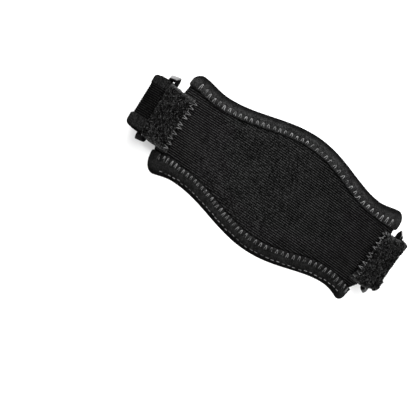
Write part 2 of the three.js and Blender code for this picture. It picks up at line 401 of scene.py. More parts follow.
def slab(front: Array, back: Array) -> tuple[Array, Array]:
    """A closed sheet between two grids of points of one size.

    Args:
        front: rows by columns by 3 points of one face.
        back: the same of the other face.

    Returns:
        Its points, and its quads facing outwards.
    """
    rows, columns = front.shape[:2]
    count = rows * columns
    points = np.concatenate([front.reshape(-1, 3), back.reshape(-1, 3)])
    number = np.arange(count).reshape(rows, columns)
    rim = np.concatenate([number[0, :-1], number[:-1, -1], number[-1, :0:-1], number[:0:-1, 0]])
    following = np.roll(rim, -1)
    walls = np.stack([following, rim, rim + count, following + count], -1)
    faces = np.concatenate([grid_quads(rows, columns), grid_quads(rows, columns, count)[:, ::-1], walls])
    return points, outward_faces(points, faces)


def ring_tube(rings: Array) -> tuple[Array, Array]:
    """A closed tube whose rings join end to end.

    Args:
        rings: rings by points by 3.

    Returns:
        Its points, and its quads facing outwards.
    """
    count, size = rings.shape[:2]
    number = np.arange(count * size).reshape(count, size)
    across = np.roll(number, -1, axis=1)
    along = np.roll(number, -1, axis=0)
    both = np.roll(across, -1, axis=0)
    points = rings.reshape(-1, 3)
    return points, outward_faces(points, np.stack([number, across, both, along], -1).reshape(-1, 4))


def outward_faces(points: Array, faces: Array) -> Array:
    """Quads of a closed mesh, turned so that its volume is positive.

    Args:
        points: its points.
        faces: its quads, all turned alike.

    Returns:
        The quads.
    """
    a, b, c, d = (points[faces[:, i]] for i in range(4))
    volume = np.einsum("ij,ij->", a, np.cross(b, c)) + np.einsum("ij,ij->", a, np.cross(c, d))
    return faces if volume > 0 else faces[:, ::-1]


def both_faces(values: Array) -> Array:
    """A value for each point of a slab, from a grid of values that is the same on both its faces."""
    flat = values.reshape(-1, *values.shape[2:])
    return np.concatenate([flat, flat])


def new_mesh(name: str, points: Array, faces: Iterable, edges: Iterable = ()) -> Mesh:
    """A mesh from points in millimetres.

    Args:
        name: its name.
        points: one point a row.
        faces: vertex numbers of each face.
        edges: pairs of vertex numbers, for a line.

    Returns:
        The mesh, in metres.
    """
    mesh = bpy.data.meshes.new(name)
    mesh.from_pydata((np.asarray(points) * MM).tolist(), [list(e) for e in edges], [list(f) for f in faces])
    mesh.update()
    return mesh


def set_field(mesh: Mesh, name: str, values: Array) -> None:
    """Stores a number or a vector for each vertex.

    Args:
        mesh: the mesh.
        name: the attribute's name.
        values: one number, or three, for each vertex.
    """
    values = np.asarray(values, float)
    vector = values.ndim == 2
    made = mesh.attributes.new(name, "FLOAT_VECTOR" if vector else "FLOAT", "POINT")
    made.data.foreach_set("vector" if vector else "value", values.astype(np.float32).ravel())


def set_uv(mesh: Mesh, uv: Array) -> None:
    """Lays a UV map in millimetres over a mesh.

    Args:
        mesh: the mesh.
        uv: one pair for each vertex.
    """
    numbers = np.zeros(len(mesh.loops), np.int32)
    mesh.loops.foreach_get("vertex_index", numbers)
    layer = mesh.uv_layers.new(name="UVMap")
    layer.data.foreach_set("uv", np.asarray(uv, np.float32)[numbers].ravel())


def add_object(name: str, mesh: Mesh, crease: float = 50.0) -> Piece:
    """Puts a mesh in the scene, shaded smooth but for its creases.

    Args:
        name: the object's name.
        mesh: its mesh.
        crease: edges sharper than this many degrees stay sharp.

    Returns:
        The object.
    """
    mesh.shade_smooth()
    mesh.set_sharp_from_angle(angle=math.radians(crease))
    obj = bpy.data.objects.new(name, mesh)
    bpy.context.scene.collection.objects.link(obj)
    return obj


def hand_over(obj: Piece, nodes: Sequence[str] = ()) -> Piece:
    """Gives a finished piece its body and hides the CAD nodes that it stands for.

    Args:
        obj: the piece.
        nodes: CAD nodes that it replaces.

    Returns:
        The piece.
    """
    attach(obj, ROOT)
    if nodes:
        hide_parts(*nodes)
    log.info("%s: %d faces", obj.name, len(obj.data.polygons))
    return obj


class NodeTree:
    """A tree of nodes in the making."""

    def __init__(self, tree: bpy.types.NodeTree) -> None:
        """Takes up one of Blender's trees."""
        self.tree = tree

    def node(self, kind: str, inputs: dict | None = None, **settings: object) -> bpy.types.Node:
        """Adds a node.

        Args:
            kind: its Blender type.
            inputs: sockets or values by input name or number.
            settings: its own properties.

        Returns:
            The node.
        """
        made = self.tree.nodes.new(kind)
        for name, value in settings.items():
            setattr(made, name, value)
        for name, value in (inputs or {}).items():
            if isinstance(value, Socket):
                self.tree.links.new(value, made.inputs[name])
            else:
                made.inputs[name].default_value = value
        return made

    def math(self, operation: str, a: object, b: object = 0.0) -> Socket:
        """The result of a Math node on two sockets or numbers."""
        return self.node("ShaderNodeMath", {0: a, 1: b}, operation=operation).outputs[0]

    def scaled(self, vector: Socket, factor: object) -> Socket:
        """A vector times a number."""
        made = self.node("ShaderNodeVectorMath", {0: vector, "Scale": factor}, operation="SCALE")
        return made.outputs["Vector"]


class GrowTree(NodeTree):
    """A Geometry Nodes tree with named sizes, run over a base mesh."""

    def __init__(self, name: str) -> None:
        """Starts a tree with a geometry input and output.

        Args:
            name: of the tree.
        """
        super().__init__(bpy.data.node_groups.new(name, "GeometryNodeTree"))
        for way in ("INPUT", "OUTPUT"):
            self.tree.interface.new_socket("Geometry", in_out=way, socket_type="NodeSocketGeometry")
        self.entry = self.tree.nodes.new("NodeGroupInput")
        self.exit = self.tree.nodes.new("NodeGroupOutput")

    def size(self, name: str) -> Socket:
        """A new named number among the tree's inputs."""
        self.tree.interface.new_socket(name, in_out="INPUT", socket_type="NodeSocketFloat")
        return self.entry.outputs[name]

    def added(self, a: Socket, b: Socket) -> Socket:
        """The sum of two vectors."""
        return self.node("ShaderNodeVectorMath", {0: a, 1: b}, operation="ADD").outputs["Vector"]

    def attribute(self, name: str, vector: bool = False) -> Socket:
        """A value stored on the mesh.

        Args:
            name: of the value.
            vector: whether it is a vector and not a number.

        Returns:
            The value.
        """
        kind = "FLOAT_VECTOR" if vector else "FLOAT"
        made = self.node("GeometryNodeInputNamedAttribute", {"Name": name}, data_type=kind)
        return made.outputs["Attribute"]

    def close(self, geometry: Socket, material: Material) -> None:
        """Ends the tree in Realize Instances and Set Material.

        Args:
            geometry: what the tree has made.
            material: its finish.
        """
        real = self.node("GeometryNodeRealizeInstances", {"Geometry": geometry})
        dressed = self.node("GeometryNodeSetMaterial", {"Geometry": real.outputs[0], "Material": material})
        self.tree.links.new(dressed.outputs[0], self.exit.inputs[0])

    def grow(self, name: str, base: Mesh, sizes: dict[str, float]) -> Mesh:
        """Runs the tree over a base mesh.

        Args:
            name: name of the new mesh.
            base: the mesh that the tree starts from.
            sizes: the tree's named sizes.

        Returns:
            The plain mesh that it makes.
        """
        carrier = bpy.data.objects.new(name + "_base", base)
        bpy.context.scene.collection.objects.link(carrier)
        modifier = carrier.modifiers.new("grow", "NODES")
        modifier.node_group = self.tree
        for item in self.tree.interface.items_tree:
            if item.item_type == "SOCKET" and item.in_out == "INPUT" and item.name in sizes:
                modifier[item.identifier] = float(sizes[item.name])
        graph = bpy.context.evaluated_depsgraph_get()
        made = bpy.data.meshes.new_from_object(carrier.evaluated_get(graph), depsgraph=graph)
        made.name = name
        carrier.modifiers.remove(modifier)
        bpy.data.objects.remove(carrier)
        bpy.data.meshes.remove(base)
        for stored in [a.name for a in made.attributes if a.name in HELPER_FIELDS]:
            made.attributes.remove(made.attributes[stored])
        return made


class RibTree(GrowTree):
    """Ribs that run along a sheet: the grooves between them are sunk into its face."""

    def __init__(self, material: Material) -> None:
        """Builds the tree.

        Args:
            material: the finish of what it makes.
        """
        super().__init__("ribs")
        pitch, depth = self.size("Rib Pitch"), self.size("Rib Depth")
        turn = self.math("MULTIPLY", self.math("DIVIDE", self.attribute("across"), pitch), 2 * math.pi)
        # 0 along the crests and -1 along the grooves
        groove = self.math("MULTIPLY_ADD", self.math("COSINE", turn), 0.5)
        groove.node.inputs[2].default_value = -0.5
        sunk = self.math("MULTIPLY", self.math("MULTIPLY", groove, depth), self.attribute("mask"))
        moved = self.node("GeometryNodeSetPosition", {
            "Geometry": self.entry.outputs[0],
            "Offset": self.scaled(self.attribute("up", vector=True), sunk),
        })
        self.close(moved.outputs[0], material)


class ZigzagTree(GrowTree):
    """Pairs of stitches along a seam line. Two legs lean together, then the thread dives under the cloth."""

    SEED = 5
    THREAD_SIDES = 6
    ARCH_POWER = 0.6  # below 1, so that a leg is flat along its top
    DIVE_BEFORE = 0.06  # the thread goes under between these shares before and past the shown one
    DIVE_PAST = 0.2
    STRAY = (1.0, 1.0, 0.3)  # how far a pair strays along x, y and z, in units of its unevenness

    def __init__(self, material: Material) -> None:
        """Builds the tree.

        Args:
            material: the finish of what it makes.
        """
        super().__init__("zigzag")
        width, arch, thread = self.size("Seam Width"), self.size("Leg Arch"), self.size("Thread Radius")
        shown, dive, uneven = self.size("Shown Share"), self.size("Dive"), self.size("Unevenness")
        bend = self.size("Leg Bend")
        line = self.node("GeometryNodeMeshToCurve", {0: self.entry.outputs[0]})
        from_point = self.math("SUBTRACT", 1.0, self.math("PINGPONG", self.attribute("leg"), 1.0))
        down_leg = self.math("MINIMUM", self.math("DIVIDE", from_point, shown), 1.0)
        aside = self.math("MULTIPLY", self.math("SUBTRACT", 0.5, self.math("POWER", down_leg, bend)), width)
        bow = self.math("MAXIMUM", self.math("SINE", self.math("MULTIPLY", down_leg, math.pi)), 0.0)
        sunk = self.node("ShaderNodeMapRange", {
            "Value": from_point,
            "From Min": self.math("SUBTRACT", shown, self.DIVE_BEFORE),
            "From Max": self.math("ADD", shown, self.DIVE_PAST),
        }, interpolation_type="SMOOTHSTEP")
        rise = self.math(
            "SUBTRACT",
            self.math("MULTIPLY", self.math("POWER", bow, self.ARCH_POWER), arch),
            self.math("MULTIPLY", sunk.outputs[0], dive),
        )
        pair = self.math("FLOOR", self.math("MULTIPLY", self.attribute("leg"), 0.5))
        stray = self.node("FunctionNodeRandomValue", {
            0: [-stray for stray in self.STRAY], 1: self.STRAY, "ID": pair, "Seed": self.SEED,
        }, data_type="FLOAT_VECTOR")
        offset = self.added(
            self.scaled(self.attribute("across", vector=True), aside),
            self.scaled(self.attribute("up", vector=True), rise),
        )
        offset = self.added(offset, self.scaled(stray.outputs[0], uneven))
        laid = self.node("GeometryNodeSetPosition", {"Geometry": line.outputs[0], "Offset": offset})
        round_thread = self.node("GeometryNodeCurvePrimitiveCircle", {
            "Resolution": self.THREAD_SIDES, "Radius": thread,
        })
        solid = self.node("GeometryNodeCurveToMesh", {
            "Curve": laid.outputs[0],
            "Profile Curve": round_thread.outputs[0],
            "Fill Caps": True,
        })
        self.close(solid.outputs[0], material)


class NeedleHoleTree(GrowTree):
    """A small sunk near-black ball at each point where a needle went in: painted shade in the hole."""

    SEGMENTS = 8
    RINGS = 4
    FLATNESS = 0.4

    def __init__(self, material: Material) -> None:
        """Builds the tree.

        Args:
            material: the finish of what it makes.
        """
        super().__init__("needle_holes")
        radius = self.size("Hole Radius")
        ball = self.node("GeometryNodeMeshUVSphere", {
            "Segments": self.SEGMENTS, "Rings": self.RINGS, "Radius": radius,
        })
        upright = self.node(
            "FunctionNodeAlignRotationToVector", {"Vector": self.attribute("up", vector=True)}, axis="Z"
        )
        placed = self.node("GeometryNodeInstanceOnPoints", {
            "Points": self.entry.outputs[0],
            "Instance": ball.outputs["Mesh"],
            "Rotation": upright.outputs[0],
            "Scale": (1.0, 1.0, self.FLATNESS),
        })
        self.close(placed.outputs[0], material)


class PileTree(GrowTree):
    """Short loops of yarn scattered over a cloth, each leaning its own way."""

    LOOP_POINTS = 6
    YARN_SIDES = 3
    LOOP_START = math.radians(-65)
    LOOP_SWEEP = math.radians(310)
    LEAN = (0.9, 0.9, math.pi)  # how far a loop turns to either side about its own x, y and z
    SIZES = (0.65, 1.35)  # least and largest size of a loop

    def __init__(self, material: Material, seed: int) -> None:
        """Builds the tree.

        Args:
            material: the yarn's finish.
            seed: for the scatter, leans and sizes.
        """
        super().__init__("loop_pile")
        count, loop, yarn = self.size("Loops per Area"), self.size("Loop Radius"), self.size("Yarn Radius")
        scatter = self.node("GeometryNodeDistributePointsOnFaces", {
            "Mesh": self.entry.outputs[0],
            "Density": self.math("MULTIPLY", self.attribute("density"), count),
            "Seed": seed,
        })
        arc = self.node("GeometryNodeCurveArc", {
            "Resolution": self.LOOP_POINTS,
            "Radius": loop,
            "Start Angle": self.LOOP_START,
            "Sweep Angle": self.LOOP_SWEEP,
        })
        round_yarn = self.node("GeometryNodeCurvePrimitiveCircle", {
            "Resolution": self.YARN_SIDES, "Radius": yarn,
        })
        solid = self.node("GeometryNodeCurveToMesh", {
            "Curve": arc.outputs["Curve"], "Profile Curve": round_yarn.outputs[0],
        })
        lifted = self.node("GeometryNodeTransform", {
            "Geometry": solid.outputs[0], "Rotation": (math.pi / 2, 0.0, 0.0),
        })
        lean = self.node("FunctionNodeRandomValue", {
            0: [-lean for lean in self.LEAN], 1: self.LEAN, "Seed": seed + 1,
        }, data_type="FLOAT_VECTOR")
        turned = self.node("FunctionNodeRotateRotation", {
            0: scatter.outputs["Rotation"],
            1: self.node("FunctionNodeEulerToRotation", {0: lean.outputs[0]}).outputs[0],
        }, rotation_space="LOCAL")
        grown = self.node("FunctionNodeRandomValue", {
            2: self.SIZES[0], 3: self.SIZES[1], "Seed": seed + 2,
        }, data_type="FLOAT")
        placed = self.node("GeometryNodeInstanceOnPoints", {
            "Points": scatter.outputs["Points"],
            "Instance": lifted.outputs[0],
            "Rotation": turned.outputs[0],
            "Scale": grown.outputs[1],
        })
        tone = self.node("FunctionNodeRandomValue", {"Seed": seed + 3}, data_type="FLOAT")
        toned = self.node("GeometryNodeStoreNamedAttribute", {
            "Geometry": placed.outputs[0], "Name": "tone", "Value": tone.outputs[1],
        }, data_type="FLOAT", domain="INSTANCE")
        self.close(toned.outputs[0], material)


class ShaderTree(NodeTree):
    """A material's nodes round one Principled shader."""

    def __init__(self, name: str) -> None:
        """Starts a material.

        Args:
            name: of the material.
        """
        self.material = bpy.data.materials.new(name)
        self.material.use_nodes = True
        super().__init__(self.material.node_tree)
        self.shader = next(n for n in self.tree.nodes if n.type == "BSDF_PRINCIPLED")
        self.coords = self.tree.nodes.new("ShaderNodeTexCoord")

    def join(self, value: Socket, name: str) -> None:
        """Links a value to one of the shader's sockets."""
        self.tree.links.new(value, self.shader.inputs[name])

    def wave(self, pitch: float, direction: str, phase: float = 0.0, wobble: float = 0.0) -> Socket:
        """Even bands over the UV map.

        Args:
            pitch: from band to band, in millimetres.
            direction: X for bands that follow each other along the map's first way, Y along its second.
            phase: in radians.
            wobble: how uneven they are.

        Returns:
            Their height, 0 to 1.
        """
        return self.node("ShaderNodeTexWave", {
            "Vector": self.coords.outputs["UV"],
            "Scale": WAVE_PERIOD / pitch,
            "Phase Offset": phase,
            "Distortion": wobble,
            "Detail": 1.0,
            "Detail Scale": 2.0,
        }, wave_type="BANDS", bands_direction=direction).outputs["Fac"]

    def noise(self, size: float, detail: float) -> Socket:
        """Cloudy noise.

        Args:
            size: of its clouds, in millimetres.
            detail: octaves of finer noise.

        Returns:
            Its value, 0 to 1.
        """
        return self.node("ShaderNodeTexNoise", {
            "Vector": self.coords.outputs["Object"],
            "Scale": 1 / (size * MM),
            "Detail": detail,
        }).outputs["Fac"]

    def patches(self, size: float, detail: float, bare: float) -> Socket:
        """Noise with a bare share of its range made 0, and as much at its other end made 1."""
        return self.spread(self.noise(size, detail), bare, 1 - bare)

    def weighted(self, *terms: tuple[Socket, float]) -> Socket:
        """The sum of several values, each times its weight.

        Args:
            terms: pairs of value and weight.

        Returns:
            The sum.
        """
        total, *others = [self.math("MULTIPLY", value, weight) for value, weight in terms]
        for other in others:
            total = self.math("ADD", total, other)
        return total

    def rising(self, value: Socket, slope: float, start: float) -> Socket:
        """A value times a slope, from a start."""
        return self.math("ADD", self.math("MULTIPLY", value, slope), start)

    def attribute(self, name: str) -> Socket:
        """A number stored on the mesh, 0 where it has none of that name."""
        return self.node("ShaderNodeAttribute", attribute_name=name).outputs["Fac"]

    def spread(self, value: Socket, low: float, high: float) -> Socket:
        """A value stretched from low and high to 0 and 1, eased and held there."""
        made = self.node("ShaderNodeMapRange", {
            "Value": value, "From Min": low, "From Max": high,
        }, interpolation_type="SMOOTHSTEP")
        return made.outputs[0]

    def shaded(self, color: Socket) -> Socket:
        """A colour darkened by the painted shade that the mesh carries, where cloth is pressed together or
        turns in.
        """
        left = self.math("SUBTRACT", 1.0, self.attribute("shade"))
        return self.scaled(color, left)

    def tones(self, value: Socket, stops: Sequence[tuple[float, float]]) -> Socket:
        """Greys along a ramp.

        Args:
            value: 0 to 1.
            stops: pairs of place and linear grey.

        Returns:
            The colour.
        """
        ramp = self.node("ShaderNodeValToRGB", {0: value})
        elements = ramp.color_ramp.elements
        while len(elements) < len(stops):
            elements.new(0.5)
        for element, (place, grey) in zip(elements, stops):
            element.position = place
            element.color = (grey, grey, grey, 1)
        return ramp.outputs["Color"]

    def bump(self, height: Socket, depth: float, strength: float) -> None:
        """Gives the shader its fine relief, from heights of 0 to 1 and a depth in millimetres."""
        made = self.node("ShaderNodeBump", {"Height": height, "Distance": depth * MM, "Strength": strength})
        self.join(made.outputs[0], "Normal")

    def finish(self, color: Socket, constants: dict[str, float]) -> Material:
        """Joins the colour to the shader and sets its constant sockets.

        Args:
            color: the base colour.
            constants: values by socket name.

        Returns:
            The material.
        """
        self.join(color, "Base Color")
        for name, value in constants.items():
            self.shader.inputs[name].default_value = value
        return self.material


@dataclass(frozen=True)
class RibbedKnit:
    """Ribbed elastic: crests with a painted highlight, grooves with painted shade, and a fluffy knit, between
    plain woven selvedges.
    """

    name: str
    pitch: float
    # the grooves' near-black tone is painted shade and the crests' light tone a painted highlight, over the
    # ribs' sunk relief
    groove: float
    crest: float
    ribs_from: float = -100.0  # ribs lie between these distances across; beyond them the cloth is plain
    ribs_to: float = 100.0
    soft_ribs_from: float = 1000.0  # and are softer between these distances along
    soft_ribs_to: float = 1000.0
    soft_ribs_fade: float = 18.0
    soft_ribs_share: float = 0.35  # the ribs there are levelled by this share
    crest_power: float = 1.6  # above 1, so that crests are narrower than grooves
    levelled_height: float = 0.36  # height of the levelled ribs
    plain_rise: float = 0.35  # and how much higher the plain cloth lies
    knit_pitch: float = 1.1
    knit_wobble: float = 2.5
    knit_lift: float = 0.4  # brightness that comes and goes with the knit along a rib
    even_lift: float = 0.4  # and that is even along it
    specks: float = 0.3  # brightness of the fluff on the ribs
    flat_specks: float = 0.28  # and how much more of it lies on flat cloth
    clouds: float = 0.08
    mid_tone: float = 0.2  # the tone half way up a rib, as a share of the crest's
    knit_relief: float = 0.6  # height of the knit, as a share of the fluff's
    relief: float = 0.16
    relief_strength: float = 0.8
    roughness: float = 0.9

    def build(self) -> Material:
        """Builds the finish.

        Returns:
            The material.
        """
        tree = ShaderTree(self.name)
        place = tree.node("ShaderNodeSeparateXYZ", {0: tree.coords.outputs["UV"]}).outputs
        # the ribs' wave is painted: light on the crests, shade in the grooves
        ribs = tree.math("POWER", tree.wave(self.pitch, "Y", math.pi), self.crest_power)
        knit = tree.wave(self.knit_pitch, "X", wobble=self.knit_wobble)
        speck = tree.patches(size=0.9, detail=1, bare=0.36)
        cloud = tree.patches(size=9.0, detail=2, bare=0.35)
        backwards = tree.math("MULTIPLY", place[0], -1.0)
        softened_ribs = tree.math(
            "MULTIPLY",
            tree.spread(place[0], self.soft_ribs_from, self.soft_ribs_from + self.soft_ribs_fade),
            tree.spread(backwards, -self.soft_ribs_to, self.soft_ribs_fade - self.soft_ribs_to),
        )
        plain = tree.math(
            "MAXIMUM",
            tree.math("LESS_THAN", place[1], self.ribs_from),
            tree.math("GREATER_THAN", place[1], self.ribs_to),
        )
        flat = tree.math("MAXIMUM", tree.math("MULTIPLY", softened_ribs, self.soft_ribs_share), plain)
        level = tree.rising(plain, self.plain_rise, self.levelled_height)
        ribs = tree.node("ShaderNodeMix", {"Factor": flat, "A": ribs, "B": level}).outputs["Result"]
        lift = tree.math("MULTIPLY", ribs, tree.rising(knit, self.knit_lift, self.even_lift))
        grain = tree.math("MULTIPLY", speck, tree.rising(flat, self.flat_specks, self.specks))
        value = tree.math("ADD", tree.math("ADD", lift, grain), tree.math("MULTIPLY", cloud, self.clouds))
        middle = self.crest * self.mid_tone
        color = tree.tones(value, [(0.12, self.groove), (0.55, middle), (1.0, self.crest)])
        relief = tree.math("ADD", tree.math("MULTIPLY", knit, self.knit_relief), speck)
        tree.bump(relief, self.relief, self.relief_strength)
        return tree.finish(tree.shaded(color), {"Roughness": self.roughness, "Specular IOR Level": 0.0})


@dataclass(frozen=True)
class WovenTape:
    """Fine woven tape, mottled where it is worn."""

    name: str
    pitch: float
    dark: float
    light: float
    warp_share: float = 0.8  # pitch of the warp, as a share of the weft's
    weft_weight: float = 0.3  # how much each of these adds to its brightness
    warp_weight: float = 0.16
    worn_weight: float = 0.16
    speck_weight: float = 0.42
    mid_tone: float = 0.35  # its middle tone, as a share of the light one
    speck_relief: float = 0.5
    relief: float = 0.16
    relief_strength: float = 0.8
    roughness: float = 0.8
    gloss: float = 0.02

    def build(self) -> Material:
        """Builds the finish.

        Returns:
            The material.
        """
        tree = ShaderTree(self.name)
        weft = tree.wave(self.pitch, "X", wobble=1.2)
        warp = tree.wave(self.pitch * self.warp_share, "Y", wobble=1.0)
        worn = tree.patches(size=4.5, detail=2, bare=0.36)
        speck = tree.patches(size=0.7, detail=1, bare=0.34)
        weave = tree.weighted((weft, self.weft_weight), (warp, self.warp_weight))
        cloud = tree.weighted((worn, self.worn_weight), (speck, self.speck_weight))
        value = tree.math("ADD", weave, cloud)
        middle = self.light * self.mid_tone
        color = tree.tones(value, [(0.12, self.dark), (0.55, middle), (0.95, self.light)])
        relief = tree.math("ADD", weave, tree.math("MULTIPLY", speck, self.speck_relief))
        tree.bump(relief, self.relief, self.relief_strength)
        return tree.finish(tree.shaded(color), {
            "Roughness": self.roughness, "Specular IOR Level": self.gloss,
        })


@dataclass(frozen=True)
class Thread:
    """Sewing thread: fibres with light and dark stretches."""

    name: str
    dark: float
    light: float
    fibre_size: float = 0.6
    stretch_size: float = 2.6
    fibre_weight: float = 0.4
    stretch_weight: float = 0.6
    relief: float = 0.1
    relief_strength: float = 0.6
    roughness: float = 0.55
    gloss: float = 0.1

    def build(self) -> Material:
        """Builds the finish.

        Returns:
            The material.
        """
        tree = ShaderTree(self.name)
        fibre = tree.noise(self.fibre_size, detail=2)
        stretch = tree.noise(self.stretch_size, detail=1)
        mixed = tree.weighted((fibre, self.fibre_weight), (stretch, self.stretch_weight))
        color = tree.tones(mixed, [(0.36, self.dark), (0.62, self.light)])
        tree.bump(fibre, self.relief, self.relief_strength)
        return tree.finish(color, {"Roughness": self.roughness, "Specular IOR Level": self.gloss})


@dataclass(frozen=True)
class LoopYarn:
    """Fuzzy yarn of a loop pile, each loop in its own grey."""

    name: str
    dark: float
    light: float
    fibre_size: float = 0.6
    loop_weight: float = 0.8
    fibre_weight: float = 0.3
    mid_tone: float = 0.2  # its middle tone, as a share of the light one
    relief: float = 0.1
    relief_strength: float = 0.6
    roughness: float = 0.85

    def build(self) -> Material:
        """Builds the finish.

        Returns:
            The material.
        """
        tree = ShaderTree(self.name)
        fibre = tree.noise(self.fibre_size, detail=2)
        value = tree.weighted((tree.attribute("tone"), self.loop_weight), (fibre, self.fibre_weight))
        middle = self.light * self.mid_tone
        color = tree.tones(value, [(0.25, self.dark), (0.65, middle), (1.0, self.light)])
        tree.bump(fibre, self.relief, self.relief_strength)
        return tree.finish(color, {"Roughness": self.roughness, "Specular IOR Level": 0.0})


@dataclass(frozen=True)
class FeltedCloth:
    """Plain matt cloth: the jersey over the foam, and the painted shade inside a needle hole."""

    name: str
    dark: float
    light: float
    grain: float
    cloud: float = 12.0
    grain_weight: float = 0.65
    cloud_weight: float = 0.35
    relief: float = 0.18
    relief_strength: float = 0.7
    roughness: float = 0.95
    gloss: float = 0.03

    def build(self) -> Material:
        """Builds the finish.

        Returns:
            The material.
        """
        tree = ShaderTree(self.name)
        grain = tree.noise(self.grain, detail=2)
        cloud = tree.noise(self.cloud, detail=3)
        mixed = tree.weighted((grain, self.grain_weight), (cloud, self.cloud_weight))
        color = tree.tones(mixed, [(0.3, self.dark), (0.7, self.light)])
        tree.bump(grain, self.relief, self.relief_strength)
        return tree.finish(color, {"Roughness": self.roughness, "Specular IOR Level": self.gloss})


@dataclass(frozen=True)
class MouldedPlastic:
    """Glossy moulded plastic with faint flow marks."""

    name: str
    dark: float
    light: float
    gloss: float
    coat: float = 0.0
    coat_ior: float = 2.0
    coat_roughness: float = 0.05
    least_roughness: float = 0.12
    most_roughness: float = 0.24
    flow_size: float = 9.0
    scuff_size: float = 1.2
    relief: float = 0.08
    relief_strength: float = 0.25

    def build(self) -> Material:
        """Builds the finish.

        Returns:
            The material.
        """
        tree = ShaderTree(self.name)
        flow = tree.noise(self.flow_size, detail=2)
        color = tree.tones(flow, [(0.35, self.dark), (0.65, self.light)])
        roughness = tree.node("ShaderNodeMapRange", {
            "Value": tree.noise(self.scuff_size, detail=2),
            "To Min": self.least_roughness,
            "To Max": self.most_roughness,
        })
        tree.join(roughness.outputs[0], "Roughness")
        tree.bump(flow, self.relief, self.relief_strength)
        return tree.finish(color, {
            "Specular IOR Level": self.gloss,
            "Coat Weight": self.coat,
            "Coat IOR": self.coat_ior,
            "Coat Roughness": self.coat_roughness,
        })


@dataclass(frozen=True)
class PalePaper:
    """The seamless pale floor."""

    name: str = "floor_paper"
    grey: float = 0.9
    mottle: float = 0.99  # its darkest tone, as a share of the lightest
    mottle_size: float = 40.0
    roughness: float = 0.9
    gloss: float = 0.1

    def build(self) -> Material:
        """Builds the finish.

        Returns:
            The material.
        """
        tree = ShaderTree(self.name)
        clouds = tree.noise(self.mottle_size, detail=2)
        color = tree.tones(clouds, [(0.3, self.grey * self.mottle), (0.7, self.grey)])
        return tree.finish(color, {"Roughness": self.roughness, "Specular IOR Level": self.gloss})


class Finishes:
    """Every finish of the strap, built once."""

    def __init__(self) -> None:
        """Builds the materials."""
        self.foam = FeltedCloth("foam_jersey", dark=0.004, light=0.009, grain=0.8).build()
        self.panel = RibbedKnit(
            "ribbed_panel",
            pitch=PanelSheet.rib_pitch,
            groove=0.0002,
            crest=0.034,
            soft_ribs_from=-66.0,
            soft_ribs_to=16.0,
        ).build()
        self.tape = WovenTape("binding_weave", pitch=0.8, dark=0.0003, light=0.038).build()
        self.seam_thread = Thread("seam_thread", dark=0.016, light=0.24).build()
        # the lower seam's thread is a darker copy of the upper one: painted shade on the lower edge
        self.shaded_lower_thread = Thread("shaded_lower_thread", dark=0.006, light=0.15).build()
        self.tab_thread = Thread("tab_thread", dark=0.006, light=0.14).build()
        self.needle_hole_shade = FeltedCloth("needle_hole_shade", dark=0.001, light=0.002, grain=0.5).build()
        self.tab_cloth = WovenTape("tab_weave", pitch=0.7, dark=0.0006, light=0.07).build()
        self.pile_yarn = LoopYarn("pile_yarn", dark=0.0003, light=0.06).build()
        rim = LoopPlan.webbing_width / 2
        self.strap = RibbedKnit(
            "strap_elastic",
            pitch=Strap.rib_pitch,
            groove=0.0002,
            crest=0.015,
            ribs_from=Strap.lower_selvedge - rim,
            ribs_to=rim - Strap.upper_selvedge,
        ).build()
        self.plastic = MouldedPlastic("ring_plastic", dark=0.0012, light=0.0025, gloss=0.008).build()
        # the bevel's lighter colour is a painted highlight, besides its higher gloss and coat
        self.bevel_highlight = MouldedPlastic("ring_bevel", dark=0.04, light=0.08, gloss=0.4, coat=0.25).build()


@dataclass
class PadCore:
    """The soft foam base under the panel, squeezed thin along its seams."""

    plan: LoopPlan
    outline: PadOutline
    half_thick: float = 1.6
    sewn_half: float = 0.7
    margin: float = 0.8  # it stays squeezed this far inside the binding
    dip: float = 5.5  # and swells back over this width
    inset: float = 1.7
    rim_power: int = 14  # its rim is rounded off by this power of the share across
    rim_least: float = 0.04
    crease: float = 70.0
    rows: int = 120
    columns: int = 48

    def half_height(self, y: Array, seam: Array) -> Array:
        """Half the core's thickness at y, full in the middle and thin at the seams."""
        swell = smooth_step(seam - self.margin - np.abs(y), 0, self.dip)
        return self.sewn_half + (self.half_thick - self.sewn_half) * swell

    def build(self, finishes: Finishes) -> Piece:
        """Builds and dresses the core.

        Args:
            finishes: the strap's finishes.

        Returns:
            The piece.
        """
        s = self.outline.places(self.rows)
        share = np.sin(np.linspace(-np.pi / 2, np.pi / 2, self.columns))[None, :]
        upper = self.outline.edge(s, Edge.UPPER) - self.inset
        lower = self.outline.edge(s, Edge.LOWER) - self.inset
        y = np.where(share > 0, share * upper, share * lower)
        half = self.half_height(y, self.outline.seam_beside(s, y))
        half = half * np.sqrt(np.clip(1 - np.abs(share) ** self.rim_power, self.rim_least, 1))
        bend = self.plan.bend
        points, faces = slab(bend.place(s, y, half), bend.place(s, y, -half))
        mesh = new_mesh("pad_core", points, faces)
        mesh.materials.append(finishes.foam)
        core = hand_over(add_object("pad_core", mesh, self.crease), ["pad"])
        return core


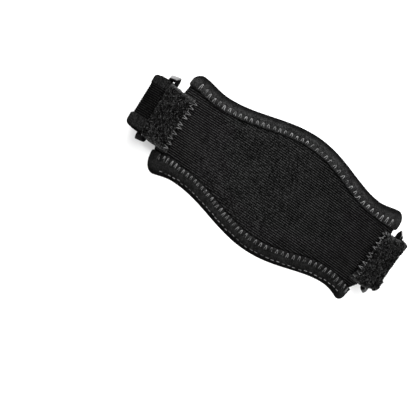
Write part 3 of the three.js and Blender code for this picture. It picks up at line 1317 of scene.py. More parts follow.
@dataclass
class PanelSheet:
    """The ribbed elastic panel on the core's outer face."""

    plan: LoopPlan
    outline: PadOutline
    core: PadCore
    gap: float = 0.3
    thick: float = 0.9
    inset: float = 3.2
    rib_pitch: float = 1.4
    rib_depth: float = 0.42
    rib_sink: float = 0.55  # the crests lie this share of the ribs' depth below the full thickness
    rib_margin: float = 0.4  # the ribs start this far in from the bindings
    rib_fade: float = 1.2  # and reach their depth over this width
    crease: float = 60.0
    rows: int = 76
    columns: int = 380
    samples: int = 400  # along its length, where its widths are summed

    def reach(self, s: Array, side: Edge) -> Array:
        """Distance from the middle line to the panel's edge under one binding."""
        return np.maximum(self.outline.edge(s, side) - self.inset, self.outline.seam(s, side))

    def build(self, finishes: Finishes) -> Piece:
        """Builds and dresses the panel.

        Args:
            finishes: the strap's finishes.

        Returns:
            The piece.
        """
        s = self.outline.places(self.rows)
        share = np.linspace(-1, 1, self.columns)[None, :]
        y = np.where(share > 0, share * self.reach(s, Edge.UPPER), share * self.reach(s, Edge.LOWER))
        seam = self.outline.seam_beside(s, y)
        under = self.core.half_height(y, seam) + self.gap
        bend = self.plan.bend
        top = bend.place(s, y, under + self.thick - self.rib_sink * self.rib_depth)
        points, faces = slab(top, bend.place(s, y, under))
        mesh = new_mesh("panel_base", points, faces)
        set_uv(mesh, both_faces(np.stack(np.broadcast_arrays(s, y), -1)))
        shown = smooth_step(seam - self.rib_margin - np.abs(y), 0, self.rib_fade)
        # painted shade on the panel towards its seams, under the bindings' edges
        set_field(mesh, "shade", both_faces(edge_shade(seam - np.abs(y))))
        set_field(mesh, "across", both_faces(y * MM))
        set_field(mesh, "mask", np.concatenate([shown.ravel(), np.zeros(y.size)]))
        set_field(mesh, "up", both_faces(bend.outward(s, y)))
        ribbed = RibTree(finishes.panel).grow("face_panel_ribs", mesh, {
            "Rib Pitch": self.rib_pitch * MM, "Rib Depth": self.rib_depth * MM,
        })
        panel = hand_over(add_object("ribbed_panel", ribbed, self.crease), ["face_panel"])
        middle = np.linspace(-self.outline.end, self.outline.end, self.samples)
        cut = sum(self.reach(middle, side) for side in Edge)
        return panel


@dataclass(frozen=True)
class ZigzagThread:
    """How the thread of a zigzag lies on the cloth."""

    arch: float  # height of its legs
    shown: float  # share of the way from its point to the next foot that a leg stays above the cloth
    dive: float  # how deep it goes under between two pairs of legs
    uneven: float  # how far a pair strays
    bend: float  # 1 for straight legs, more for legs that spread from the point
    width: float = 0.0  # 0 for a straight row
    radius: float = 0.22

    def sizes(self) -> dict[str, float]:
        """The named sizes of its tree, lengths in metres."""
        return {
            "Seam Width": self.width * MM,
            "Leg Arch": self.arch * MM,
            "Thread Radius": self.radius * MM,
            "Shown Share": self.shown,
            "Dive": self.dive * MM,
            "Unevenness": self.uneven * MM,
            "Leg Bend": self.bend,
        }


class SeamRow(NamedTuple):
    """The zigzag along a binding at a distance along the pad."""

    at: float
    stitch: float  # along the seam, half of one pair of stitches
    width: float


SEAM_ROWS = {
    Edge.UPPER: (
        SeamRow(-82, 2.2, 4.2),
        SeamRow(-64, 2.0, 2.9),
        SeamRow(-46, 1.85, 2.1),
        SeamRow(0, 1.8, 2.0),
        SeamRow(30, 2.25, 2.1),
        SeamRow(58, 2.5, 2.6),
        SeamRow(82, 2.8, 4.6),
    ),
    Edge.LOWER: (
        SeamRow(-82, 2.1, 3.9),
        SeamRow(-62, 1.7, 3.4),
        SeamRow(-46, 1.5, 2.5),
        SeamRow(-25, 1.45, 2.9),
        SeamRow(10, 1.9, 2.7),
        SeamRow(45, 2.1, 3.3),
        SeamRow(82, 2.4, 4.6),
    ),
}


@dataclass
class Binding:
    """The tape rolled round one long edge, held by a zigzag seam and puffed between its stitches."""

    plan: LoopPlan
    outline: PadOutline
    side: Edge
    face: float = 2.2  # height of its underside on the outer face
    rear: float = -1.0  # and of its upper side at the back
    thick: float = 0.9
    steps: int = 12  # points of the thread on each half of a pair of stitches
    zigzag_inner: float = 0.8  # from the tape's inner edge
    zigzag_stop: float = 82.5  # the zigzag runs between these distances from the middle
    dash_in: float = 2.4  # from the outline to the lower edge's second row of stitches
    dash_stop: float = 74.0
    # the zigzag's width comes from the table above
    zigzag: ZigzagThread = ZigzagThread(arch=0.3, shown=0.36, dive=1.0, uneven=0.28, bend=2.6)
    dashes: ZigzagThread = ZigzagThread(arch=0.3, shown=0.5, dive=1.0, uneven=0.4, bend=2.6)
    thread_lift: float = 0.02
    hole_radius: float = 0.5
    hole_out: float = 0.45  # from the stitch's point
    hole_sink: float = 0.3
    plump: float = 0.32  # the tape swells this much between its seam and its rolled edge
    tuck: float = 0.7  # and its inner edge is drawn down this much
    tuck_share: float = 0.14  # over this share of its width
    dimple_depth: float = 0.6
    dimple_size: float = 0.9
    rim_shade: float = 0.9  # painted shade: its rolled edge is darker by this share
    rim_fade: float = 1.8  # which sets in from this far before the start of the roll to this far past it
    lower_shade: float = 0.62  # painted shade: the lower tape, which faces away from the raking light, is darker throughout
    crease: float = 55.0
    samples: int = 2000  # along the seam, for the places of its stitches
    rows: int = 340
    leg_columns: int = 16
    roll_columns: int = 16
    back_columns: int = 6

    def stitch(self, s: Array) -> Array:
        """Length of half of one pair of stitches along the seam at s."""
        rows = SEAM_ROWS[self.side]
        return eased(s, [row.at for row in rows], [row.stitch for row in rows])

    def zigzag_width(self, s: Array) -> Array:
        """Width of the zigzag at s."""
        rows = SEAM_ROWS[self.side]
        return eased(s, [row.at for row in rows], [row.width for row in rows])

    def point_out(self, s: Array) -> Array:
        """Distance from the tape's inner edge to the stitches' points, which all lie towards +Y."""
        return self.zigzag_inner + (self.zigzag_width(s) if self.side is Edge.UPPER else np.zeros_like(s))

    def foot_out(self, s: Array) -> Array:
        """Distance from the tape's inner edge to where the stitches' legs dive."""
        return self.zigzag_inner + (np.zeros_like(s) if self.side is Edge.UPPER else self.zigzag_width(s))

    def seam_places(self, stop: float) -> Array:
        """Places of the seam's points, as far apart as its table of stitches says.

        Args:
            stop: the seam runs between this distance left and right of the middle.

        Returns:
            Distances along the pad.
        """
        s = np.linspace(-stop, stop, self.samples)
        y = self.outline.seam(s, self.side)
        stitches = np.hypot(np.diff(s), np.diff(y)) / self.stitch(s[1:])
        along = np.concatenate([[0], np.cumsum(stitches)])
        legs = 2 * round(along[-1] / 2)
        return np.interp(np.linspace(0, along[-1], legs * self.steps + 1), along, s)

    def dimples(self, s: Array, outward: Array) -> Array:
        """How far the stitches pull the tape down.

        Args:
            s: distances along the pad.
            outward: distances out from the tape's inner edge.

        Returns:
            The depths.
        """
        places = self.seam_places(self.zigzag_stop)[:: self.steps]
        depth = np.zeros(np.broadcast(s, outward).shape)
        for holes, out in ((places[1::2], self.point_out(s)), (places[::2], self.foot_out(s))):
            nearest = np.min(np.abs(s[..., None] - holes), axis=-1)
            spread = (nearest**2 + (outward - out) ** 2) / (2 * self.dimple_size**2)
            depth = depth + self.dimple_depth * np.exp(-spread)
        return depth

    def surface(self, skin: float, dimpled: bool) -> Array:
        """One face of the tape as a grid of points.

        Args:
            skin: 1 for the outer face, 0 for the inner.
            dimpled: whether the stitches show on it.

        Returns:
            rows by columns by 3 points.
        """
        s = self.outline.places(self.rows)
        seam = self.outline.seam(s, self.side)
        edge = self.outline.edge(s, self.side)
        roll = self.outline.roll(s, self.side)
        share = np.linspace(0, 1, self.leg_columns, endpoint=False)[None, :]
        leg_y = seam + (edge - roll - seam) * share
        plump = self.plump * np.sin(np.pi * share) * skin
        tuck = self.tuck * skin * (1 - smooth_step(share, 0, self.tuck_share))
        leg_n = np.broadcast_to(self.face + self.thick * skin + plump - tuck, leg_y.shape)
        if dimpled:
            leg_n = leg_n - self.dimples(s, leg_y - seam)
        turn = np.linspace(np.pi / 2, -np.pi / 2, self.roll_columns)[None, :]
        middle, half = (self.face + self.rear) / 2, (self.face - self.rear) / 2 + self.thick * skin
        roll_y = edge - roll + (roll - self.thick * (1 - skin)) * np.cos(turn)
        roll_n = np.broadcast_to(middle + half * np.sin(turn), roll_y.shape)
        back = np.linspace(1, 0, self.back_columns + 1)[None, 1:]
        back_y = seam + (edge - roll - seam) * back
        back_n = np.full(back_y.shape, self.rear - self.thick * skin)
        y = np.concatenate([leg_y, roll_y, back_y], axis=1)
        n = np.concatenate([leg_n, roll_n, back_n], axis=1)
        return self.plan.bend.place(s, self.side.value * y, n)

    def stitch_line(self, s: Array, from_middle: Array) -> tuple[Array, Array, Array]:
        """A line of stitches on the tape.

        Args:
            s: distances along the pad.
            from_middle: distances from its middle line.

        Returns:
            The line's points, and the ways across it and up at each of them.
        """
        bend = self.plan.bend
        y = self.side.value * from_middle
        line = bend.place(s, y, np.full_like(s, self.face + self.thick + self.thread_lift))
        up = bend.outward(s, y)
        across = np.cross(up, np.gradient(line, axis=0))
        return line, across / np.linalg.norm(across, axis=1, keepdims=True), up

    def build(self, finishes: Finishes) -> list[Piece]:
        """Builds and dresses the tape, its thread and its needle holes.

        Args:
            finishes: the strap's finishes.

        Returns:
            The pieces.
        """
        name = f"binding_{self.side.label}"
        outer, inner = self.surface(1.0, True), self.surface(0.0, False)
        points, faces = slab(outer, inner)
        mesh = new_mesh(name + "_tape", points, faces)
        run = np.linalg.norm(np.diff(outer, axis=1), axis=2)
        across = np.concatenate([np.zeros((self.rows, 1)), np.cumsum(run, axis=1)], axis=1)
        s = self.outline.places(self.rows)
        set_uv(mesh, both_faces(np.stack(np.broadcast_arrays(s, across), -1)))
        # painted shade over the rolled edge, and over the whole lower tape
        rim = smooth_step(across - across[:, [self.leg_columns]], -self.rim_fade, self.rim_fade)
        base = self.lower_shade if self.side is Edge.LOWER else 0.0
        set_field(mesh, "shade", both_faces(base + (self.rim_shade - base) * rim))
        mesh.materials.append(finishes.tape)
        tape = hand_over(add_object(name + "_tape", mesh, self.crease), [name])
        return [tape, *self.threads(name, finishes), self.holes(name, finishes)]

    def threads(self, name: str, finishes: Finishes) -> list[Piece]:
        """Sews the zigzag, and the second row of the lower edge.

        Args:
            name: of the binding.
            finishes: the strap's finishes.

        Returns:
            The threads.
        """
        widest = max(row.width for row in SEAM_ROWS[self.side])
        zigzag = replace(self.zigzag, width=widest)
        s = self.seam_places(self.zigzag_stop)
        width = self.zigzag_width(s)
        middle = self.outline.seam(s, self.side) + self.zigzag_inner + width / 2
        line, across, up = self.stitch_line(s, middle)
        seam = line, across * (width / widest)[:, None], up
        finish = finishes.seam_thread if self.side is Edge.UPPER else finishes.shaded_lower_thread
        made = [sew(name + "_zigzag", seam, self.steps, finish, zigzag)]
        if self.side is Edge.LOWER:
            s = self.seam_places(self.dash_stop)
            seam = self.stitch_line(s, self.outline.half_width(s) - self.dash_in)
            # the dimmer tab thread here is painted shade on the lower edge
            thread = finishes.tab_thread
            made.append(sew(name + "_dashes", seam, self.steps, thread, self.dashes))
        return made

    def holes(self, name: str, finishes: Finishes) -> Piece:
        """Marks where the needle went in at the points of the zigzag, with dark balls of painted shade.

        Args:
            name: of the binding.
            finishes: the strap's finishes.

        Returns:
            The holes.
        """
        s = self.seam_places(self.zigzag_stop)
        line, across, up = self.stitch_line(s, self.outline.seam(s, self.side) + self.point_out(s))
        picked = slice(self.steps, None, 2 * self.steps)
        spots = line[picked] + across[picked] * self.hole_out - up[picked] * self.hole_sink
        mesh = new_mesh(name + "_spots", spots, [])
        set_field(mesh, "up", up[picked])
        made = NeedleHoleTree(finishes.needle_hole_shade).grow(name + "_holes", mesh, {
            "Hole Radius": self.hole_radius * MM,
        })
        return hand_over(add_object(name + "_holes", made))


def sew(
    name: str,
    seam: tuple[Array, Array, Array],
    steps: int,
    material: Material,
    thread: ZigzagThread,
) -> Piece:
    """Sews a zigzag thread along a line.

    Args:
        name: of the thread.
        seam: points along the seam's middle in millimetres, the ways across it, as long as the share of the
            full width that the zigzag has there, and the ways out of the cloth.
        steps: points on each half of a pair of stitches.
        material: the thread's finish.
        thread: how it lies.

    Returns:
        The thread.
    """
    line, across, up = seam
    count = len(line)
    pairs = np.stack([np.arange(count - 1), np.arange(1, count)], -1)
    mesh = new_mesh(name + "_line", line, [], pairs)
    set_field(mesh, "across", across)
    set_field(mesh, "up", up)
    set_field(mesh, "leg", np.arange(count) / steps)
    made = ZigzagTree(material).grow(name, mesh, thread.sizes())
    return hand_over(add_object(name, made))


def band_between(low: Array, high: Array, shares: Array) -> tuple[Array, Array]:
    """A band between its two selvedges.

    Args:
        low: x, y and z along the selvedge towards -Y.
        high: the same along the other.
        shares: 0 at low to 1 at high, one for each line along the band.

    Returns:
        Its points, rows by lines by 3, and its middle line.
    """
    count = min(len(low), len(high))
    low, high = low[:count], high[:count]
    return low[:, None, :] + (high - low)[:, None, :] * shares[None, :, None], 0.5 * (low + high)


def selvedge_thickness(across: Array, width: float, radius: float) -> Array:
    """Share of a band's thickness at a distance from its middle, rounded off at both selvedges."""
    into = np.clip((np.abs(across) - (width / 2 - radius)) / radius, 0, 1)
    return np.sqrt(np.clip(1 - into**2, SELVEDGE_LEAST, 1))


@dataclass(frozen=True)
class LoopPile:
    """The short loops of yarn on the webbing."""

    seed: int
    loops_per_mm2: float = 2.9
    loop_radius: float = 0.7
    yarn_radius: float = 0.2

    def grow(self, name: str, ground: Array, density: Array, flip: bool, finishes: Finishes) -> Piece:
        """Grows loops over a grid of the cloth's face.

        Args:
            name: of the pile.
            ground: rows by columns by 3 points of the cloth.
            density: 0 to 1 at each of them.
            flip: whether the grid's own faces look into the cloth.
            finishes: the strap's finishes.

        Returns:
            The pile.
        """
        quads = grid_quads(*ground.shape[:2])
        mesh = new_mesh(name + "_ground", ground.reshape(-1, 3), quads[:, ::-1] if flip else quads)
        set_field(mesh, "density", density.ravel())
        made = PileTree(finishes.pile_yarn, self.seed).grow(name, mesh, {
            "Loops per Area": self.loops_per_mm2 / MM**2,
            "Loop Radius": self.loop_radius * MM,
            "Yarn Radius": self.yarn_radius * MM,
        })
        return hand_over(add_object(name, made))


@dataclass
class Tab:
    """A webbing tab with a loop pile, sewn to the panel and folded loosely round the ring's inner bar."""

    plan: LoopPlan
    end: End
    spacing: float = 0.7
    columns: int = 34
    layer_points: int = 24
    fold_points: int = 40
    soft_rounds: int = 8
    stitch: float = 1.75
    steps: int = 10
    zigzag: ZigzagThread = ZigzagThread(arch=1.0, shown=0.5, dive=0.9, uneven=0.7, bend=1.6, width=3.0)
    zigzag_in: float = 0.5  # from its sewn end
    zigzag_short: float = 2.0  # the zigzag is this much shorter than the webbing is wide
    selvedge: float = 2.2
    corner: float = 0.8  # its selvedges are rounded over this width
    press: float = 3.6  # over this length its sewn end is pressed down to the panel
    ground_shade: float = 0.9  # painted shade: the cloth under the pile is darker
    ground_fade: float = 0.6
    pile_from: float = 0.36  # share of its length, from the end under the fold, where the pile starts
    pile_fade: float = 1.5  # the pile thins out over this width at the selvedges
    pile_at_seam: float = 0.75  # share of the pile that stands under the zigzag
    crease: float = 60.0
    seed: int = 11

    def fold_line(self, y: float) -> Array:
        """The middle of the folded webbing at one selvedge.

        Args:
            y: the selvedge's distance across at its sewn end.

        Returns:
            x, y and z from the lower layer's sewn end, round the fold, to the upper layer's.
        """
        plan = self.plan
        half = plan.tab_layer / 2
        drifted = y + plan.tab_drift
        eye = plan.splayed(plan.tab_eye, drifted)
        radius = plan.tab_eye_radius + half
        inner = plan.bend_radius + plan.tab_inner + half
        sewn = plan.tab_start / plan.bend_radius
        count = self.layer_points
        under = polar((0, 0), inner, np.linspace(sewn + self.press / inner, plan.leave_angle, count))
        angles = np.linspace(plan.leave_angle, sewn, count)
        pressed = smooth_step((angles - sewn) * inner, 0, self.press)
        over = polar((0, 0), inner + plan.tab_layer * pressed, angles)
        start = touch_angle(under[-1], eye, radius, -1)
        stop = touch_angle(over[0], eye, radius, 1) - 2 * math.pi
        fold = polar(eye, radius, np.linspace(start, stop, self.fold_points))
        drift = np.concatenate([np.zeros(count), np.ones(self.fold_points), np.zeros(count)])
        line = np.column_stack([np.concatenate([under, fold, over]), drift])
        line = softened(evenly(line, self.spacing), self.soft_rounds)
        flat = [self.end.value * line[:, 0], y + plan.tab_drift * line[:, 2], plan.axis_height + line[:, 1]]
        return np.column_stack(flat)

    def faces(self) -> tuple[Array, Array, Array]:
        """The tab's two faces.

        Returns:
            Grids of its outer and inner face, and each column's distance across.
        """
        width = self.plan.webbing_width
        low, high = self.fold_line(-width / 2), self.fold_line(width / 2)
        across = width / 2 * np.sin(np.linspace(-np.pi / 2, np.pi / 2, self.columns))
        middle, line = band_between(low, high, across / width + 0.5)
        out = left_normals(line)[:, None, :] * -self.end.value
        half = self.plan.tab_layer / 2 * selvedge_thickness(across, width, self.corner)[None, :, None]
        return middle + out * half, middle - out * half, across

    def build(self, finishes: Finishes) -> list[Piece]:
        """Builds and dresses the webbing, its pile and its sewn end.

        Args:
            finishes: the strap's finishes.

        Returns:
            The pieces.
        """
        name = f"tab_{self.end.label}"
        front, back, across = self.faces()
        points, quads = slab(front, back)
        mesh = new_mesh(name + "_webbing", points, quads)
        along = distances_along(front[:, self.columns // 2])
        set_uv(mesh, both_faces(np.stack(np.meshgrid(along, across, indexing="ij"), -1)))
        mesh.materials.append(finishes.tab_cloth)
        inward = self.plan.webbing_width / 2 - np.abs(across)
        # painted shade under the pile, clear of the selvedges
        ground = smooth_step(inward, self.selvedge - self.ground_fade, self.selvedge + self.ground_fade)
        shade = np.broadcast_to(self.ground_shade * ground, front.shape[:2])
        set_field(mesh, "shade", both_faces(shade))
        webbing = hand_over(add_object(name + "_webbing", mesh, self.crease), [name])
        pile = self.pile(name, front, inward, finishes)
        thread = self.thread(name, finishes)
        f"ring_{self.end.label}"
        return [webbing, pile, thread]

    def pile(self, name: str, front: Array, inward: Array, finishes: Finishes) -> Piece:
        """Grows the loop pile over the upper layer and the fold.

        Args:
            name: of the tab.
            front: grid of the outer face.
            inward: each column's distance in from the nearest selvedge.
            finishes: the strap's finishes.

        Returns:
            The pile.
        """
        ground = front[int(len(front) * self.pile_from):]
        inside = smooth_step(inward, self.selvedge - self.pile_fade, self.selvedge)
        from_end = np.arange(len(ground))[::-1] * self.spacing
        clear = smooth_step(from_end, self.zigzag_in, self.zigzag.width)
        past_seam = self.pile_at_seam + (1 - self.pile_at_seam) * clear
        density = past_seam[:, None] * inside[None, :]
        flip = self.end is End.RIGHT
        return LoopPile(self.seed + self.end.value).grow(name + "_pile", ground, density, flip, finishes)

    def thread(self, name: str, finishes: Finishes) -> Piece:
        """Sews the zigzag column across the tab's sewn end.

        Args:
            name: of the tab.
            finishes: the strap's finishes.

        Returns:
            The thread.
        """
        plan = self.plan
        width = plan.webbing_width - self.zigzag_short
        legs = 2 * round(width / self.stitch / 2)
        y = np.linspace(-width / 2, width / 2, legs * self.steps + 1)
        s = np.full_like(y, self.end.value * (plan.tab_start + self.zigzag.width / 2 + self.zigzag_in))
        upper_layer = plan.tab_inner + 1.5 * plan.tab_layer  # height of its middle
        line = plan.bend.place(s, y, np.full_like(y, upper_layer))
        up = plan.bend.outward(s, y)
        inward = -self.end.value * np.cross(np.array([0.0, 1.0, 0.0]), up)
        across = inward - plan.tab_layer / self.zigzag.width * up
        seam = line, across, up
        return sew(name + "_zigzag", seam, self.steps, finishes.tab_thread, self.zigzag)


@dataclass
class Ring:
    """A glossy moulded rectangular ring."""

    plan: LoopPlan
    end: End
    length: float = 47.6
    thick: float = 3.4
    upper_bar: float = 4.0  # width of its end bar towards +Y
    lower_bar: float = 3.6
    outer_corner: float = 1.3
    slot_corner: float = 0.9
    chamfer: float = 1.6
    end_slope: float = 1.6  # the bevel towards +Y is this many times as long as it is deep
    slot_chamfer: float = 0.6
    chamfer_power: float = 1.7  # 1 rounds the edges, 2 cuts them flat
    bevel_reach: float = 0.2  # a face within this distance of the bevel towards +Y is part of it
    least_lean: float = 0.2  # if it leans more than the ring's flat sides
    most_lean: float = 0.98  # and less than its flat end
    crease: float = 35.0
    corner_steps: int = 7
    chamfer_steps: int = 7

    def corner_points(self, half_x: float, half_y: float, radius: float) -> Array:
        """A rounded rectangle.

        Args:
            half_x: half its width.
            half_y: half its length.
            radius: of its corners.

        Returns:
            Points round it, the same number for every rectangle of this ring.
        """
        points = []
        for quarter, (sign_x, sign_y) in enumerate([(1, 1), (-1, 1), (-1, -1), (1, -1)]):
            turn = np.pi / 2 * (quarter + np.linspace(0, 1, self.corner_steps))
            centre = np.array([sign_x * (half_x - radius), sign_y * (half_y - radius)])
            points.append(centre + radius * np.stack([np.cos(turn), np.sin(turn)], -1))
        return np.concatenate(points)

    def bevel_faces(self, points: Array, faces: Array) -> Array:
        """Which faces are the bevel of the end towards +Y, lighter as a painted highlight and glossier.

        Args:
            points: the ring's own points.
            faces: its quads.

        Returns:
            Whether each quad is.
        """
        a, b, c, d = (points[faces[:, i]] for i in range(4))
        normal = np.cross(c - a, d - b)
        lean = np.abs(normal[:, 1]) / np.linalg.norm(normal, axis=1)
        middle = (a + b + c + d)[:, 1] / 4
        bevelled = middle > self.length / 2 - self.end_slope * self.chamfer - self.bevel_reach
        return bevelled & (lean > self.least_lean) & (lean < self.most_lean)

    def build(self, finishes: Finishes) -> Piece:
        """Builds, places and dresses the ring.

        Args:
            finishes: the strap's finishes.

        Returns:
            The piece.
        """
        width, top = self.plan.ring_width, self.thick / 2
        slot_x = width / 2 - self.plan.ring_bar
        slot_y = (self.length - self.upper_bar - self.lower_bar) / 2
        slot_middle = np.array([0, (self.lower_bar - self.upper_bar) / 2])
        turn = np.linspace(0, np.pi / 2, self.chamfer_steps)
        cut = 1 - np.maximum(np.cos(turn), 0) ** self.chamfer_power
        drop = 1 - np.sin(turn) ** self.chamfer_power
        upper = [("outer", i, top - self.chamfer * d) for i, d in zip(self.chamfer * cut, drop)]
        bore = self.slot_chamfer
        upper += [("slot", i, top - bore * d) for i, d in zip(bore * cut[::-1], drop[::-1])]
        rings = []
        for wall, inward, z in upper + [(wall, inward, -z) for wall, inward, z in reversed(upper)]:
            if wall == "outer":
                flat = self.corner_points(width / 2 - inward, self.length / 2 - inward, self.outer_corner)
                flat[:, 1] -= np.where(flat[:, 1] > 0, (self.end_slope - 1) * inward, 0)
            else:
                flat = self.corner_points(slot_x + inward, slot_y + inward, self.slot_corner + inward)
                flat = flat + slot_middle
            rings.append(np.column_stack([flat, np.full(len(flat), z)]))
        points, faces = ring_tube(np.stack(rings))
        sign = self.end.value
        tilt = Matrix.Rotation(sign * self.plan.ring_tilt, 3, "Y")
        lean = tilt @ Matrix.Rotation(-sign * self.plan.splay, 3, "Z")
        centre = self.plan.ring_centre
        place = np.array([sign * centre[0], self.plan.ring_lift, self.plan.axis_height + centre[1]])
        mesh = new_mesh(f"ring_{self.end.label}_moulded", points @ np.array(lean).T + place, faces)
        mesh.materials.append(finishes.plastic)
        mesh.materials.append(finishes.bevel_highlight)
        mesh.polygons.foreach_set("material_index", self.bevel_faces(points, faces).astype(np.int32))
        ring = add_object(mesh.name, mesh, self.crease)
        return hand_over(ring, [f"ring_{self.end.label}"])


@dataclass
class Strap:
    """The ribbed elastic that closes the loop, folded through both rings, its ends turned back under it."""

    plan: LoopPlan
    left_end: float = -48.0
    right_end: float = -36.0
    rib_pitch: float = 1.45
    rib_depth: float = 0.32
    upper_selvedge: float = 6.5
    lower_selvedge: float = 8.6
    upper_swell: float = 0.5  # its woven selvedges stand this much proud of the ribs on the turns
    lower_swell: float = 1.3
    swell_before: float = 0.6  # the swell rises from this far before a selvedge's inner edge
    swell_past: float = 0.8  # to this far past it
    upper_round: float = 2.6  # and the selvedges' corners are rounded there
    lower_round: float = 3.8
    # heights at which the swell sets in, is full, eases off and ends
    turn_heights: tuple[float, float, float, float] = (4.5, 10.0, 22.0, 27.0)
    rib_fade: float = 0.8
    corner: float = 0.9  # its selvedges are rounded over this width
    pile_stop: float = 12.0  # height down to which the right turn has a pile
    pile_rows_before: int = 3  # rows of the mesh before the top of the fold where it starts
    pile_rim: float = 0.8  # it sets in between these distances from the selvedges
    pile_full: float = 2.0
    pile_loops: float = 1.5  # on each square millimetre
    pile_loop_radius: float = 1.5
    crease: float = 60.0
    seed: int = 31
    flat_step: float = 4.0
    curve_step: float = 1.1
    arc_points: int = 40
    soft_rounds: int = 4
    columns: int = 112

    def half_line(self, y: float, outer_stop: float) -> Array:
        """The middle of one half of the strap, on the right, at one selvedge.

        Args:
            y: the selvedge's place.
            outer_stop: x where the turned-back end stops.

        Returns:
            x and z from the middle of the strap, round the ring, to the turned-back end.
        """
        plan = self.plan
        layer = plan.strap_layer
        bar = plan.splayed(plan.outer_bar, y)
        turn = np.array([plan.splayed(plan.turn_centre, y)[0], plan.turn_centre[1]])
        up_turn = np.linspace(math.pi, plan.strap_tilt, self.arc_points)
        down_turn = np.linspace(plan.strap_tilt, math.pi, self.arc_points)
        inside = polar(turn, plan.strap_bend - layer / 2, up_turn)
        outside = polar(turn, plan.strap_bend + layer / 2, down_turn)
        radius = plan.strap_eye_radius + layer / 2
        start = touch_angle(inside[-1], bar, radius, 1)
        stop = touch_angle(outside[0], bar, radius, -1) + 2 * math.pi
        fold = polar(bar, radius, np.linspace(start, stop, self.arc_points))
        curve = softened(evenly(np.concatenate([inside, fold, outside]), self.curve_step), self.soft_rounds)
        rises, lands = inside[0][0], outside[-1][0]
        run = np.linspace(0, rises, round(rises / self.flat_step))[:-1]
        back = np.linspace(lands, outer_stop, round((lands - outer_stop) / self.flat_step))[1:]
        flat_in = np.column_stack([run, np.full(len(run), inside[0][1])])
        flat_out = np.column_stack([back, np.full(len(back), outside[-1][1])])
        return np.concatenate([flat_in, curve, flat_out])

    def selvedge_line(self, y: float) -> Array:
        """The middle of the whole strap at one selvedge.

        Args:
            y: the selvedge's place.

        Returns:
            x, y and z from its left turned-back end to its right one.
        """
        right = self.half_line(y, self.right_end)
        left = self.half_line(y, -self.left_end) * np.array([-1.0, 1.0])
        line = np.concatenate([left[:0:-1], right])
        return np.column_stack([line[:, 0], np.full(len(line), y), self.plan.axis_height + line[:, 1]])

    def swell(self, across: Array) -> Array:
        """How far the woven selvedges stand out on the turns, less their rounded corners.

        Args:
            across: distances from the strap's middle line.

        Returns:
            The heights.
        """
        rim = self.plan.webbing_width / 2
        upper_from, lower_from = rim - self.upper_selvedge, rim - self.lower_selvedge
        upper = smooth_step(across, upper_from - self.swell_before, upper_from + self.swell_past)
        lower = smooth_step(-across, lower_from - self.swell_before, lower_from + self.swell_past)
        raised = self.upper_swell * upper + self.lower_swell * lower
        for radius, left in ((self.upper_round, rim - across), (self.lower_round, rim + across)):
            short = np.clip(radius - left, 0, radius)
            raised = raised - (radius - np.sqrt(radius**2 - short**2))
        return raised

    def on_turns(self, height: Array) -> Array:
        """1 where the strap turns up to its rings, 0 on the floor and at the rings."""
        start, full, easing, stop = self.turn_heights
        return smooth_step(height, start, full) * (1 - smooth_step(height, easing, stop))

    def build(self, finishes: Finishes) -> list[Piece]:
        """Builds and dresses the strap.

        Args:
            finishes: the strap's finishes.

        Returns:
            The pieces.
        """
        plan = self.plan
        width = plan.webbing_width
        low = self.selvedge_line(plan.strap_lift - width / 2)
        high = self.selvedge_line(plan.strap_lift + width / 2)
        across = np.linspace(-width / 2, width / 2, self.columns)
        middle, line = band_between(low, high, across / width + 0.5)
        normal = left_normals(line)
        away = np.sign(np.sum(normal * (line - np.array([0, 0, plan.strap_bend])), axis=1))
        bulge = self.swell(across)[None, :] * self.on_turns(line[:, 2])[:, None] * away[:, None]
        out = normal[:, None, :]
        middle = middle + out * bulge[:, :, None]
        half = plan.strap_layer / 2 * selvedge_thickness(across, width, self.corner)[None, :, None]
        front, back = middle + out * half, middle - out * half
        points, faces = slab(front, back)
        mesh = new_mesh("strap_base", points, faces)
        along = distances_along(line)
        set_uv(mesh, both_faces(np.stack(np.meshgrid(along, across, indexing="ij"), -1)))
        inside = smooth_step(width / 2 - self.upper_selvedge - across, 0, self.rib_fade)
        inside = inside * smooth_step(across + width / 2 - self.lower_selvedge, 0, self.rib_fade)
        # painted shade along the strap's selvedges
        rim = edge_shade(width / 2 - np.abs(across))
        for name, values in (("mask", inside), ("shade", rim), ("across", across * MM)):
            set_field(mesh, name, both_faces(np.broadcast_to(values, middle.shape[:2])))
        outward = np.broadcast_to(out, middle.shape).reshape(-1, 3)
        set_field(mesh, "up", np.concatenate([outward, -outward]))
        ribbed = RibTree(finishes.strap).grow("strap_ribs", mesh, {
            "Rib Pitch": self.rib_pitch * MM, "Rib Depth": self.rib_depth * MM,
        })
        strap = hand_over(add_object("strap_webbing", ribbed, self.crease), ["strap"])
        pile = self.pile(front, line, across, finishes)
        return [strap, pile]

    def pile(self, front: Array, line: Array, across: Array, finishes: Finishes) -> Piece:
        """Grows the loop pile over the strap's right fold, down to where it turns under.

        Args:
            front: grid of the strap's outer face.
            line: its middle line.
            across: each column's distance across.
            finishes: the strap's finishes.

        Returns:
            The pile.
        """
        top = int(np.argmax(np.where(line[:, 0] > 0, line[:, 2], 0)))
        rows = np.arange(len(line))
        past_top = rows >= top - self.pile_rows_before
        shown = past_top & (line[:, 2] > self.pile_stop) & (line[:, 0] > 0)
        inside = smooth_step(self.plan.webbing_width / 2 - np.abs(across), self.pile_rim, self.pile_full)
        density = np.broadcast_to(inside, (int(shown.sum()), self.columns))
        loops = LoopPile(self.seed, self.pile_loops, self.pile_loop_radius)
        return loops.grow("strap_pile", front[shown], density, True, finishes)


class SoftLight(NamedTuple):
    """A square light that looks at the strap."""

    name: str
    place: tuple[float, float, float]  # in metres
    size: float  # of its sides, in metres
    power: float  # in watts


LIGHTS = (
    SoftLight("overhead", (0.0, 0.1, 1.5), 1.7, 30),
    SoftLight("raking", (-0.3, 1.0, 0.5), 0.6, 24),
)


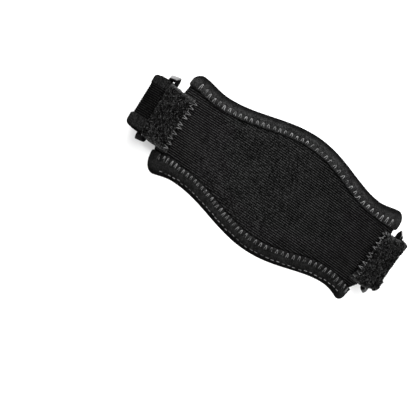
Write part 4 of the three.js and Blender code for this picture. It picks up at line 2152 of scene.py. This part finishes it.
@dataclass
class Studio:
    """Floor, light and camera, at the photograph's viewing angle."""

    plan: LoopPlan
    azimuth: float = math.radians(11.6)
    elevation: float = math.radians(-2.5)
    roll: float = math.radians(33.85)
    distance: float = 1200.0
    pixels_per_mm: float = 1.599
    picture: int = 416
    target: tuple[float, float] = (281.58, 193.7)  # picture place of the pad's crown
    sensor: float = 36.0
    clip: tuple[float, float] = (0.01, 20.0)  # the camera sees between these distances, in metres
    floor_size: float = 3.0  # in metres
    floor_height: float = -0.2
    room_strength: float = 0.65
    aim_height: float = 0.04  # the lights look at this height, in metres

    def build(self) -> None:
        """Lays the floor, hangs the lights and sets the camera."""
        self.lay_floor()
        self.hang_lights()
        self.set_camera()

    def lay_floor(self) -> None:
        """Lays a pale floor just under the strap."""
        half = self.floor_size / 2 / MM
        signs = ((-1, -1), (1, -1), (1, 1), (-1, 1))
        corners = np.array([[x * half, y * half, self.floor_height] for x, y in signs])
        floor = add_object("floor", new_mesh("floor", corners, [(0, 1, 2, 3)]))
        floor.data.materials.append(PalePaper().build())

    def hang_lights(self) -> None:
        """A white room, a wide soft light overhead and a raking one from the picture's top."""
        scene = bpy.context.scene
        scene.world = bpy.data.worlds.new("studio")
        scene.world.use_nodes = True
        room = next(n for n in scene.world.node_tree.nodes if n.type == "BACKGROUND")
        room.inputs["Color"].default_value = (1, 1, 1, 1)
        room.inputs["Strength"].default_value = self.room_strength
        for light in LIGHTS:
            self.hang(light)
        scene.view_settings.view_transform = "Standard"

    def hang(self, light: SoftLight) -> None:
        """Hangs one light and turns it to the strap.

        Args:
            light: the light.
        """
        data = bpy.data.lights.new(light.name, "AREA")
        data.size = light.size
        data.energy = light.power
        lamp = bpy.data.objects.new(light.name, data)
        lamp.location = light.place
        lamp.rotation_mode = "QUATERNION"
        aim = Vector((0, 0, self.aim_height)) - Vector(light.place)
        lamp.rotation_quaternion = aim.to_track_quat("-Z", "Y")
        lamp.visible_camera = False
        bpy.context.scene.collection.objects.link(lamp)

    def set_camera(self) -> None:
        """Stands the camera where the photograph was taken and aims it without shift."""
        az, el = self.azimuth, self.elevation
        toward = Vector((-math.sin(az) * math.cos(el), math.sin(el), math.cos(az) * math.cos(el)))
        right = Vector((math.cos(az), 0, math.sin(az)))
        up = toward.cross(right)
        turned_right = math.cos(self.roll) * right + math.sin(self.roll) * up
        turned_up = math.cos(self.roll) * up - math.sin(self.roll) * right
        focal = self.pixels_per_mm * self.distance
        aside = math.atan((self.target[0] - self.picture / 2) / focal)
        below = math.atan((self.target[1] - self.picture / 2) / focal)
        look = Matrix((turned_right, turned_up, toward)).transposed()
        look = look @ Matrix.Rotation(aside, 3, "Y") @ Matrix.Rotation(below, 3, "X")
        crown = Vector((0, 0, (self.plan.axis_height + self.plan.bend_radius) * MM))
        data = bpy.data.cameras.new("camera")
        data.sensor_width = self.sensor
        data.lens = focal / self.picture * self.sensor
        data.clip_start, data.clip_end = self.clip
        camera = bpy.data.objects.new("camera", data)
        camera.location = crown + toward * self.distance * MM
        camera.rotation_mode = "QUATERNION"
        camera.rotation_quaternion = look.to_quaternion()
        bpy.context.scene.collection.objects.link(camera)
        bpy.context.scene.camera = camera


def main() -> None:
    """Builds the strap piece by piece, then the studio round it."""
    logging.basicConfig(level=logging.INFO, format="%(name)s: %(message)s")
    plan, outline = LoopPlan(), PadOutline()
    finishes = Finishes()
    core = PadCore(plan, outline)
    core.build(finishes)
    PanelSheet(plan, outline, core).build(finishes)
    for side in Edge:
        Binding(plan, outline, side).build(finishes)
    for end in End:
        Tab(plan, end).build(finishes)
        Ring(plan, end).build(finishes)
    Strap(plan).build(finishes)
    Studio(plan).build()


if __name__ == "__main__":
    main()
